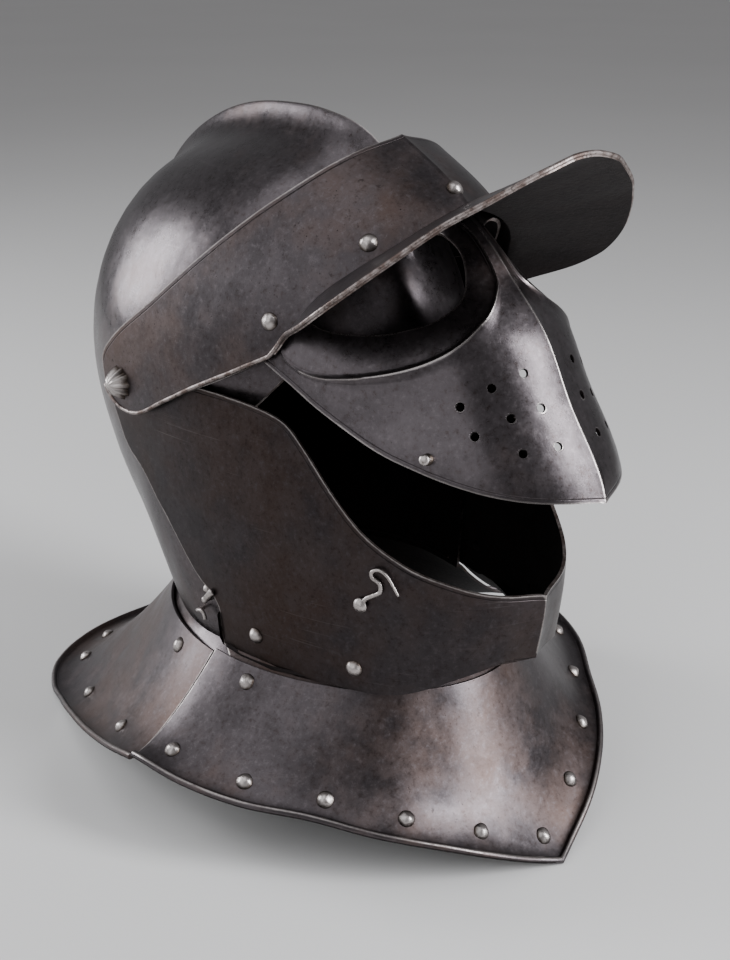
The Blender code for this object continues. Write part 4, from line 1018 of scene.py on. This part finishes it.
def make_visor(materials):
    """The face plate: each half is a web of rings round its eye opening, with an arm to the rosette."""
    count = len(VISOR_SPOKES)
    arm_columns = 8 * FINE
    eye, crease, edge = ([spoke[k] for spoke in VISOR_SPOKES] for k in range(3))
    points, faces, border = [], [], []
    for side in (-1, 1):
        first = len(points)
        for share in VISOR_RINGS:
            depth = SOCKET_DEPTH * max(1 - share, 0) ** 0.9
            ridge = CREASE_RISE * exp(-((share - 1) / CREASE_SPREAD) ** 2)
            for k in range(count * FINE):
                at = k / FINE
                middle = knot_value(crease, at)
                if share <= 1:
                    spot = [a + (b - a) * share for a, b in zip(knot_value(eye, at), middle)]
                else:
                    high = knot_value(edge, at, VISOR_CORNERS)
                    spot = [a + (b - a) * (share - 1) for a, b in zip(middle, high)]
                i = int(at)
                sink = SOCKET_SHARES[i] + (SOCKET_SHARES[(i + 1) % count] - SOCKET_SHARES[i]) * (at - i)
                points.append(VISOR.point(*spot, side) + VISOR.outward(*spot, side) * (ridge - depth) * sink)
        width = count * FINE
        for row in range(len(VISOR_RINGS) - 1):
            for c in range(width):
                after = (c + 1) % width
                low, high = first + row * width, first + (row + 1) * width
                face = (low + c, low + after, high + after, high + c)
                faces.append(face if side > 0 else face[::-1])
        line = points[first + (len(VISOR_RINGS) - 1) * width:]
        border.append(line[VISOR_CORNERS[0] * FINE:VISOR_CORNERS[1] * FINE + 1])
        under = outline(VISOR_ARM_UNDER, arm_columns)
        top = outline(VISOR_ARM_TOP, arm_columns)
        first = len(points)
        for r in range(FINE + 1):
            share = r / FINE
            for column, (low, high) in enumerate(zip(under, top)):
                spot = between(low, high, share)
                if column == arm_columns:
                    spot = (low[0] + (high[0] - low[0]) * share, low[1] + (high[1] - low[1]) * share)
                points.append(VISOR.point(*spot, side))
        patch = grid_faces(FINE + 1, arm_columns + 1, first)
        faces.extend(patch if side > 0 else [face[::-1] for face in patch])
    mesh = joined_mesh("visor_plate", points, faces)
    face_away(mesh, place(0, 0, 0))
    ridge = [VISOR.point(VISOR_BRIDGE - k * 0.5, MEDIAL, 1) for k in range(2 * (VISOR_BRIDGE - VISOR_TIP))]
    crease_ring = VISOR_RINGS.index(1) * count * FINE
    creases = []
    for first in (0, len(points) // 2):
        worn = (k for k in range(count * FINE) if SOCKET_SHARES[k // FINE] > 0.9)
        creases.append([points[first + crease_ring + k] for k in worn])
    mark_distance(mesh, "edge", [*boundary_lines(mesh), ridge, *creases])
    mark_distance(mesh, "border", border)
    visor = new_object("visor_plate", mesh, materials)
    give_wall(visor, PLATE_WALL)
    cut_out(visor, breath_drills(materials[1]))
    even_shading(visor)
    return dress(visor, "visor")


def breath_drills(material):
    """The drills of the breath holes, flared at the plate's face."""
    points, faces = [], []
    flare = ((0, 6), (1.12, 6), (1.12, 0), (1, -0.3), (1, -6), (0, -6))
    for spot in BREATHS:
        for side in (-1, 1):
            profile = [(radius * BREATH_RADIUS, height * MM) for radius, height in flare]
            origin, axis = VISOR.point(*spot, side), VISOR.outward(*spot, side)
            more, their_faces = turned_shape(profile, 24, origin, axis, len(points))
            points.extend(more)
            faces.extend(their_faces)
    return new_object("breath_drills", joined_mesh("breath_drills", points, faces), [material])


def brim_edge(pieces):
    """The brim's edge from where it leaves the band to its tip, as (right-hand, left-hand) pairs."""
    fold = PEAK.point(*PEAK_FOLD[0], 1)
    forward, up = PIVOT_BACK - fold.y, fold.z - PIVOT_HEIGHT
    course = []
    for ahead, aside, rise in BRIM_EDGE[::-1]:
        spot = forward + ahead * BRIM_LENGTH, up + rise * BRIM_RISE, aside * SKULL_HALF_WIDTH
        course.append(Vector(spot))
    run = [0]
    for before, after in zip(course, course[1:]):
        run.append(run[-1] + (after - before).length)
    pairs = []
    for k in range(pieces + 1):
        at = run[-1] * k / pieces
        spot = [curve_value([(r, c[i]) for r, c in zip(run, course)], at) for i in range(3)]
        pairs.append([place(spot[0], spot[1], side * spot[2]) for side in (-1, 1)])
    return pairs


def make_peak(materials):
    """The brow band, from its rear edge to the fold, and the brim that springs from the fold."""
    front, arm = 9 * FINE, 8 * FINE
    top = outline(PEAK_TOP, arm + front)
    fold = outline(PEAK_UNDER, arm)[:-1] + outline(PEAK_FOLD, front)
    rows = []
    for share in row_shares(PLATE_ROWS):
        rows.append([pair_on(PEAK, between(a, b, share)) for a, b in zip(top, fold)])
    band = rows[-1]
    edge = brim_edge(front)
    for r in range(1, BRIM_ROWS + 1):
        row = []
        for column, pair in enumerate(band):
            if column <= arm:
                row.append(pair)
                continue
            fade = smooth((column - arm) / FINE / 2)
            row.append([own.lerp(aim, r / BRIM_ROWS * fade) for own, aim in zip(pair, edge[column - arm])])
        rows.append(row)
    whole = [both_sides(row) for row in rows]
    return dress(sheet("peak_plate", whole, place(0, 0, 0), materials), "peak"), whole[-1]


def swept(name, course, radius, material, sides=12, shape=None):
    """A round bar along a course, with flat ends. The shape gives shares of the radius along it."""
    points, faces = [], []
    across = None
    last = len(course) - 1
    for k, spot in enumerate(course):
        along = (course[min(k + 1, last)] - course[max(k - 1, 0)]).normalized()
        if across is None:
            across = along.orthogonal().normalized()
        across = (across - along * across.dot(along)).normalized()
        over = along.cross(across)
        size = radius * (curve_value(shape, k / last) if shape else 1)
        for c in range(sides):
            bearing = 2 * pi * c / sides
            points.append(spot + (across * cos(bearing) + over * sin(bearing)) * size)
    for k in range(last):
        for c in range(sides):
            low, high = k * sides, (k + 1) * sides
            faces.append((low + c, low + (c + 1) % sides, high + (c + 1) % sides, high + c))
    faces.append(tuple(range(sides)))
    faces.append(tuple(range(last * sides, (last + 1) * sides)))
    mesh = joined_mesh(name, points, faces)
    mark_crown(mesh, [0.6] * len(mesh.vertices))
    return new_object(name, mesh, [material])


def make_peak_roll(line, material):
    """The thickened edge along the band's lower edge and round the brim."""
    roll = swept("peak_rolled_edge", line, PEAK_ROLL, material, 12)
    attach(roll, BODY_OF["peak"])


def eased_gorget(bearing, share, raise_by):
    """The gorget's face, with the ridge that runs down to its front point eased away above the rim."""
    ease = FRONT_EASE * min(3 * (1 - share), 1) * smooth((45 - abs((bearing + 180) % 360 - 180)) / 25)
    spots = [gorget_spot(bearing + k * ease, share, raise_by) for k in (-1, -0.6, -0.3, 0, 0.3, 0.6, 1)]
    return sum(spots, Vector()) / len(spots)


def make_gorget(label, bearings, raise_by, materials):
    """A gorget plate on its hollow slope, with the rim rolled outwards round a wire."""
    shares = [0, 0.006, *((k + 1) / GORGET_ROWS for k in range(GORGET_ROWS))]
    rows = [[eased_gorget(bearing, share, raise_by) for bearing in bearings] for share in shares]
    normals = [[gorget_outward(bearing, share) for bearing in bearings] for share in shares]
    columns = len(bearings)
    inner = [[p - n * PLATE_WALL for p, n in zip(row, line)] for row, line in zip(rows, normals)]
    beads = [[] for _ in range(RIM_RING)]
    crest = []
    for c in range(columns):
        rim = rows[-1][c]
        out = rim - rows[-2][c]
        out.z = 0
        out.normalize()
        middle = rim + out * (RIM_BEAD * 0.9)
        for k, line in enumerate(beads):
            bearing = radians(112 - 250 * k / (RIM_RING - 1))
            line.append(middle + (out * cos(bearing) + Vector((0, 0, 1)) * sin(bearing)) * RIM_BEAD)
        crest.append(middle + (out * 0.4 + Vector((0, 0, 1)) * 0.9) * RIM_BEAD)
    loops = rows + beads + inner[::-1]
    faces = grid_faces(len(loops), columns)
    last = (len(loops) - 1) * columns
    for c in range(columns - 1):
        faces.append((last + c, last + c + 1, c + 1, c))
    count = len(rows)
    for c in (0, columns - 1):
        for r in range(count - 1):
            outer, inside = r * columns + c, (len(loops) - 1 - r) * columns + c
            faces.append((outer, outer + columns, inside - columns, inside))
        faces.append([(count - 1 + k) * columns + c for k in range(len(beads) + 2)])
    name = f"gorget_{label}_plate"
    mesh = joined_mesh(name, [point for loop in loops for point in loop], faces)
    seams = [[row[c] for row in rows] for c in (0, columns - 1)]
    mark_distance(mesh, "edge", [*seams, crest])
    # Faces that look down, above the rim's foot, take the painted shade of the insides.
    for face in mesh.polygons:
        if face.normal.z < -0.2 and face.center.z > 3.5 * MM:
            face.material_index = 1
    gorget = new_object(name, mesh, materials)
    round_edges(gorget, 0.35 * MM)
    return dress(gorget, f"gorget_{label}")


def turned_shape(profile, sides, origin, axis, first=0, flutes=0, flute_depth=0, wobble=0):
    """Points and faces of a closed turned shape, whose profile starts and ends on the axis."""
    turn = axis.to_track_quat("Z", "Y").to_matrix()
    points, faces = [], []
    for radius, height in profile:
        for k in range(sides):
            bearing = 2 * pi * k / sides
            size = 1 - flute_depth * (0.5 - 0.5 * cos(flutes * bearing)) if flutes else 1
            spot = Vector((radius * size * cos(bearing), radius * size * sin(bearing), height))
            spot += noise.noise_vector((origin + spot) * 300) * wobble
            points.append(origin + turn @ spot)
    for row in range(len(profile) - 1):
        for k in range(sides):
            after = (k + 1) % sides
            low, high = first + row * sides, first + (row + 1) * sides
            faces.append((low + k, low + after, high + after, high + k))
    return points, faces


def domed(radius, rise, shares, power, base=0, lip=0):
    """The profile of a dome from its crown down to its brim, above a base."""
    profile = [(0, rise + base)]
    for share in shares:
        profile.append((radius * share, base + rise * (1 - share ** power) + lip * share ** 6))
    return profile


def turned(name, profile, sides, origin, axis, material, flutes=0, flute_depth=0, wobble=0):
    """A turned fitting, brightest at its crown, with painted shade where it is inside the helmet."""
    points, faces = turned_shape(profile, sides, origin, axis, 0, flutes, flute_depth, wobble)
    mesh = joined_mesh(name, points, faces)
    top = max(height for _, height in profile)
    mark_crown(mesh, [(vertex.co - origin).dot(axis) / top for vertex in mesh.vertices])
    thing = new_object(name, mesh, [material])
    mesh.materials.append(PAINTED_SHADE)
    # The part inside the helmet takes the painted shade.
    for face in mesh.polygons:
        if (face.center - origin).dot(axis) < -1.2 * MM:
            face.material_index = 1
    mesh.set_sharp_from_angle(angle=radians(70))
    return thing


def seat(plates, spot, axis, radius):
    """Where a fastener sits: level with the highest outside under its head, and how deep it has to grip."""
    turn = axis.to_track_quat("Z", "Y").to_matrix()
    outer, inner = TREES[plates[0]], TREES[plates[-1]]
    high, low = [], []
    for k in range(9):
        reach = radius if k < 8 else 0
        offset = turn @ Vector((reach * cos(k * pi / 4), reach * sin(k * pi / 4), 0))
        hit = outer.ray_cast(spot + offset + axis * SEARCH, -axis, 2 * SEARCH)[0]
        if hit is None:
            continue
        high.append((hit - spot).dot(axis))
        left, last = SEARCH, hit
        while left > 0:
            beyond = inner.ray_cast(last - axis * 0.1 * MM, -axis, left)[0]
            if beyond is None:
                break
            left -= (last - beyond).length
            last = beyond
        low.append((last - spot).dot(axis))
    level = sum(high) / len(high)
    return spot + axis * level, level - min(low)


def rivet(node, plates, spot, axis, material, head=RIVET_HEAD, rise=RIVET_RISE):
    """A hand-set domed rivet, sunk a little into its plate, with its end spread inside."""
    origin, grip = seat(plates, spot, axis, head * 0.8)
    profile = domed(head, rise, (0.2, 0.4, 0.58, 0.74, 0.86, 0.95, 1), 2.3, lip=0.25 * MM)
    profile += [(head * 0.97, -0.9 * MM), (RIVET_SHANK, -0.9 * MM), (RIVET_SHANK, -grip + 0.2 * MM),
                (head * 0.72, -grip + 0.1 * MM), (head * 0.6, -grip - 0.7 * MM), (0, -grip - 1 * MM)]
    thing = turned(f"{node}_head", profile, 28, origin, axis, material, wobble=0.35 * MM)
    return dress(thing, node)


def make_rivets(material):
    """The rivets of the peak, the bevor and the gorget's lining, and those that hold the gorget's plates."""
    peak = [(spot, side) for spot in PEAK_RIVETS for side in (-1, 1)] + [(PEAK_CENTRE_RIVET, 1)]
    bevor = [(spot, side) for spot in BEVOR_RIVETS for side in (-1, 1)]
    for plate, dome, spots in (("peak", PEAK, peak), ("bevor", BEVOR, bevor)):
        for number, (spot, side) in enumerate(spots, 1):
            rivet(f"{plate}_rivet_{number}", (plate,), dome.point(*spot, side), dome.outward(*spot, side),
                  material)
    places = []
    for label, bearings, raise_by in (("front", FRONT_LINING, SEAM_LIFT), ("rear", REAR_LINING, 0)):
        pairs = [side * bearing for bearing in bearings for side in ((-1, 1) if bearing else (1,))]
        for number, bearing in enumerate(pairs, 1):
            places.append((f"{label}_lining_rivet_{number}", label, bearing, LINING_SHARE, raise_by))
    for label, bearing, raise_by in zip(("front", "rear"), NECK_RIVET_BEARINGS, (SEAM_LIFT, 0)):
        for side, hand in ((-1, "right"), (1, "left")):
            places.append((f"neck_rivet_{label}_{hand}", label, side * bearing, NECK_RIVET_SHARE, raise_by))
    for node, label, bearing, share, raise_by in places:
        rivet(node, (f"gorget_{label}",), gorget_spot(bearing, share, raise_by),
              gorget_outward(bearing, share), material)


def make_rosettes(material):
    """A fluted dome on each side, with its burr inside the skull."""
    seated = PEAK_HALF_WIDTH - 0.4 * MM
    inside = SKULL_HALF_WIDTH - SKULL_WALL
    for side, label in ((-1, "right"), (1, "left")):
        shares = (0.08, 0.16, 0.26, 0.38, 0.5, 0.62, 0.74, 0.84, 0.92, 0.97, 1)
        profile = domed(ROSETTE_RADIUS, ROSETTE_HEIGHT, shares, 2.4, seated)
        profile += [(ROSETTE_RADIUS * 0.98, seated - 0.6 * MM), (PIVOT_SHANK, seated - 0.6 * MM),
                    (PIVOT_SHANK, inside), (PIVOT_SHANK * 2, inside), (PIVOT_SHANK * 1.6, inside - 1.5 * MM),
                    (0, inside - 1.5 * MM)]
        rosette = turned(f"pivot_rosette_{label}_dome", profile, 10 * ROSETTE_FLUTES, place(0, 0, 0),
                         Vector((side, 0, 0)), material, ROSETTE_FLUTES, FLUTE_DEPTH)
        levels = [(abs(vertex.co.x) - seated) / ROSETTE_HEIGHT for vertex in rosette.data.vertices]
        mark_crown(rosette.data, levels)
        dress(rosette, f"pivot_rosette_{label}")


def make_stud(material):
    """The stud on the right of the visor: a waisted pin with a rounded head."""
    axis = VISOR.outward(*STUD_PLACE, -1)
    origin, grip = seat(("visor",), VISOR.point(*STUD_PLACE, -1), axis, SMALL_HEAD)
    profile = [(0, STUD_LENGTH)]
    for share, height in ((0.5, 0.98), (0.85, 0.92), (1, 0.8), (0.95, 0.68), (0.6, 0.56), (0.55, 0.3),
                          (0.8, 0.12), (1.1, 0.02), (1.1, -0.1)):
        profile.append((SMALL_HEAD * share, STUD_LENGTH * height))
    profile += [(RIVET_SHANK, -0.1 * STUD_LENGTH), (RIVET_SHANK, -grip), (SMALL_HEAD, -grip),
                (SMALL_HEAD * 0.7, -grip - 0.8 * MM), (0, -grip - 0.8 * MM)]
    dress(turned("visor_stud_head", profile, 24, origin, axis, material), "visor_stud")


def hook_frame():
    """Directions on the bevor at the hook's rivet: along the plate, up the plate and outwards."""
    outward = BEVOR.outward(*HOOK_PLACE, -1)
    up = (Vector((0, 0, 1)) - outward * outward.z).normalized()
    return up.cross(outward).normalized(), up, outward


def make_hook(material):
    """A wire bent round its rivet and into an S, thinning to its tip."""
    along, up, outward = hook_frame()
    origin, grip = seat(("bevor",), BEVOR.point(*HOOK_PLACE, -1), outward, HOOK_REACH * 0.3)
    eye = RIVET_SHANK + 0.2 * MM + HOOK_WIRE
    flat = []
    for k in range(7):
        bearing = radians(330 - 45 * k)
        flat.append((eye * cos(bearing), eye * sin(bearing), 0))
    flat += [(x * HOOK_REACH / 2, y * HOOK_REACH / 2, 0) for x, y in HOOK_COURSE]
    pieces = 90
    course = []
    for k in range(pieces + 1):
        x, y, _ = through(flat, (len(flat) - 1) * k / pieces)
        course.append(origin + along * x + up * y + outward * (SEAT_GAP + HOOK_WIRE))
    taper = ((0, 0.95), (0.25, 1.1), (0.7, 0.95), (1, 0.55))
    dress(swept("visor_hook_wire", course, HOOK_WIRE, material, 14, taper), "visor_hook")
    head, rise, lift = SMALL_HEAD * 1.35, SMALL_RISE, 2 * HOOK_WIRE + SEAT_GAP
    profile = domed(head, rise, (0.25, 0.5, 0.72, 0.88, 0.97, 1), 2.3, lift)
    profile += [(head * 0.95, lift - 0.3 * MM), (RIVET_SHANK, lift - 0.3 * MM), (RIVET_SHANK, -grip),
                (head * 0.7, -grip), (0, -grip - 0.9 * MM)]
    dress(turned("hook_rivet_head", profile, 24, origin, outward, material, wobble=0.2 * MM), "hook_rivet")


def by_corner(offset, lift=0):
    """A place beside the neck on the wearer's right, from the lower rear corner of the bevor's cheek."""
    corner = BEVOR.point(*BEVOR_BACK[1], -1)
    return Vector((-SKULL_HALF_WIDTH, corner.y - offset[0] - lift, corner.z + offset[1] + lift))


def make_pin(material):
    """The turning pin at the neck, its flat thumb-piece, the rivet beside it and the bent wire below."""
    axis = Vector((-1, 0, 0))
    low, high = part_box("neck_pin")
    joint = next(joint["pos_m"] for joint in frame["joints"] if joint["name"] == "neck_pin_turn")
    origin = Vector((high.x, joint[1], joint[2]))
    reach = high.x - low.x
    profile = [(0, reach)]
    waist = ((0.6, 0.98), (1, 0.93), (1.05, 0.86), (0.8, 0.8), (0.8, 0.3), (1.6, 0.22), (1.6, 0.02))
    for share, height in waist:
        profile.append((PIN_SHANK * share, reach * height))
    profile.append((0, 0))
    shank = turned("neck_pin_shank", profile, 20, origin, axis, material)
    dress(shank, "neck_pin")
    level = reach - 1.9 * MM
    course = []
    for k in range(17):
        share = k / 16
        bend = 0.9 * MM * sin(pi * share)
        spot = Vector((-level - bend, PIN_BAR * (0.12 - 0.74 * share), PIN_BAR * (-0.14 + 0.8 * share)))
        course.append(origin + spot)
    bar = swept("neck_pin_thumb_piece", course, PIN_BAR * 0.17, material, 14,
                ((0, 0.8), (0.06, 1), (0.5, 1), (0.94, 1.15), (1, 0.9)))
    for vertex in bar.data.vertices:
        vertex.co.x = -level + origin.x + (vertex.co.x + level - origin.x) * 0.6
    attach(bar, BODY_OF["neck_pin"])
    rivet("neck_pin_rivet", ("skull",), by_corner(STUD_FROM_CORNER), axis, material, SMALL_HEAD, SMALL_RISE)
    start, grip = seat(("skull",), by_corner(CATCH_FROM_CORNER), axis, SMALL_HEAD)
    out = start + axis * (HOOK_WIRE + SEAT_GAP)
    lie = -HOOK_WIRE - 1.6 * MM
    knots = [(grip + 1.4 * MM, 0, 0), (lie * 0.5, 0, 0), (lie, -1.2 * MM, 0.6 * MM), (lie, -4 * MM, 1.6 * MM),
             (lie, -6.5 * MM, 0.6 * MM), (lie, -8 * MM, -2.4 * MM)]
    course = [out + through(knots, 5 * k / 40) for k in range(41)]
    dress(swept("neck_catch_wire", course, HOOK_WIRE, material, 12), "neck_catch")


def make_stage():
    """The studio: its floor, its even light and its soft boxes."""
    corners = [(x * FLOOR_REACH, y * FLOOR_REACH, 0) for x, y in ((-1, -1), (1, -1), (1, 1), (-1, 1))]
    floor = new_object("floor", joined_mesh("floor", corners, [(0, 1, 2, 3)]), [pale_floor("pale_floor")])
    world = bpy.context.scene.world or bpy.data.worlds.new("studio")
    bpy.context.scene.world = world
    world.use_nodes = True
    background = world.node_tree.nodes["Background"]
    background.inputs["Color"].default_value = WORLD_COLOUR
    background.inputs["Strength"].default_value = WORLD_LIGHT
    for name, spot, size, power in LAMPS:
        lamp = bpy.data.lights.new(name, "AREA")
        lamp.shape = "RECTANGLE"
        lamp.size, lamp.size_y = size
        lamp.energy = power
        lamp.color = LAMP_COLOUR
        holder = bpy.data.objects.new(name, lamp)
        bpy.context.scene.collection.objects.link(holder)
        holder.location = spot
        holder.rotation_euler = (AIM - Vector(spot)).to_track_quat("-Z", "Y").to_euler()


def make_camera():
    """The camera that took the photograph."""
    eye = bpy.data.cameras.new("photograph")
    eye.lens = CAMERA_LENS
    eye.sensor_fit = "VERTICAL"
    eye.sensor_height = 36
    eye.clip_start = 0.01
    holder = bpy.data.objects.new("photograph", eye)
    bpy.context.scene.collection.objects.link(holder)
    axes = Matrix((CAMERA_RIGHT, CAMERA_RIGHT.cross(CAMERA_AHEAD), -CAMERA_AHEAD))
    holder.matrix_world = Matrix.Translation(CAMERA_PLACE) @ axes.transposed().to_4x4()
    bpy.context.scene.camera = holder


def trees_of(plates):
    """Search trees of the finished plates, to seat the fittings on."""
    scene = bpy.context.evaluated_depsgraph_get()
    return {name: BVHTree.FromObject(plate, scene) for name, plate in plates.items()}


edge = filed_edge("filed_edge")
# The inner faces' material is painted shade: near black, for the dark inside and under the helmet.
PAINTED_SHADE = painted_shade_inside("painted_shade_inside")
fitting = bright_fitting("bright_fitting")
skull_finish = old_steel("skull_steel_worn", 1, tone=1.15, brown=0.35, pits=0.25, gloss=0.3)
# The bevor's steel has half the tone: painted shade for the dark surroundings that its chin and cheeks
# reflect.
bevor_painted_shade_finish = old_steel("bevor_steel_worn_painted_shade", 5, tone=0.5, brown=0.7, pits=0.3, gloss=0.36, border=2.2,
                         scratch=0.16)
visor_finish = old_steel("visor_steel_worn", 9, tone=1.1, brown=0.3, pits=0.25, gloss=0.3, border=2.2)
peak_finish = old_steel("peak_steel_worn", 13, tone=0.95, brown=0.62, pits=0.8, gloss=0.4, border=2.4)
front_finish = old_steel("gorget_front_steel_worn", 17, tone=1, brown=0.5, pits=0.35, gloss=0.36)
rear_finish = old_steel("gorget_rear_steel_worn", 21, tone=1, brown=0.7, pits=0.35, gloss=0.38)

make_camera()
make_stage()
skull = make_skull([skull_finish, PAINTED_SHADE, edge])
bevor = make_bevor([bevor_painted_shade_finish, PAINTED_SHADE, edge])
visor = make_visor([visor_finish, PAINTED_SHADE, edge])
peak, peak_line = make_peak([peak_finish, PAINTED_SHADE, edge])
make_peak_roll(peak_line, edge)
half, pieces = SEAM_BEARING + 0.4, 120
front = make_gorget("front", [half * (2 * k / pieces - 1) for k in range(pieces + 1)], SEAM_LIFT,
                    [front_finish, PAINTED_SHADE])
start, pieces = SEAM_BEARING + 1.6, 140
rear = make_gorget("rear", [start + (360 - 2 * start) * k / pieces for k in range(pieces + 1)], 0,
                   [rear_finish, PAINTED_SHADE])
TREES = trees_of({"skull": skull, "bevor": bevor, "visor": visor, "peak": peak, "gorget_front": front,
                  "gorget_rear": rear})
make_neck_flange([skull_finish, PAINTED_SHADE, edge])
make_rivets(fitting)
make_rosettes(fitting)
make_stud(fitting)
make_hook(fitting)
make_pin(fitting)
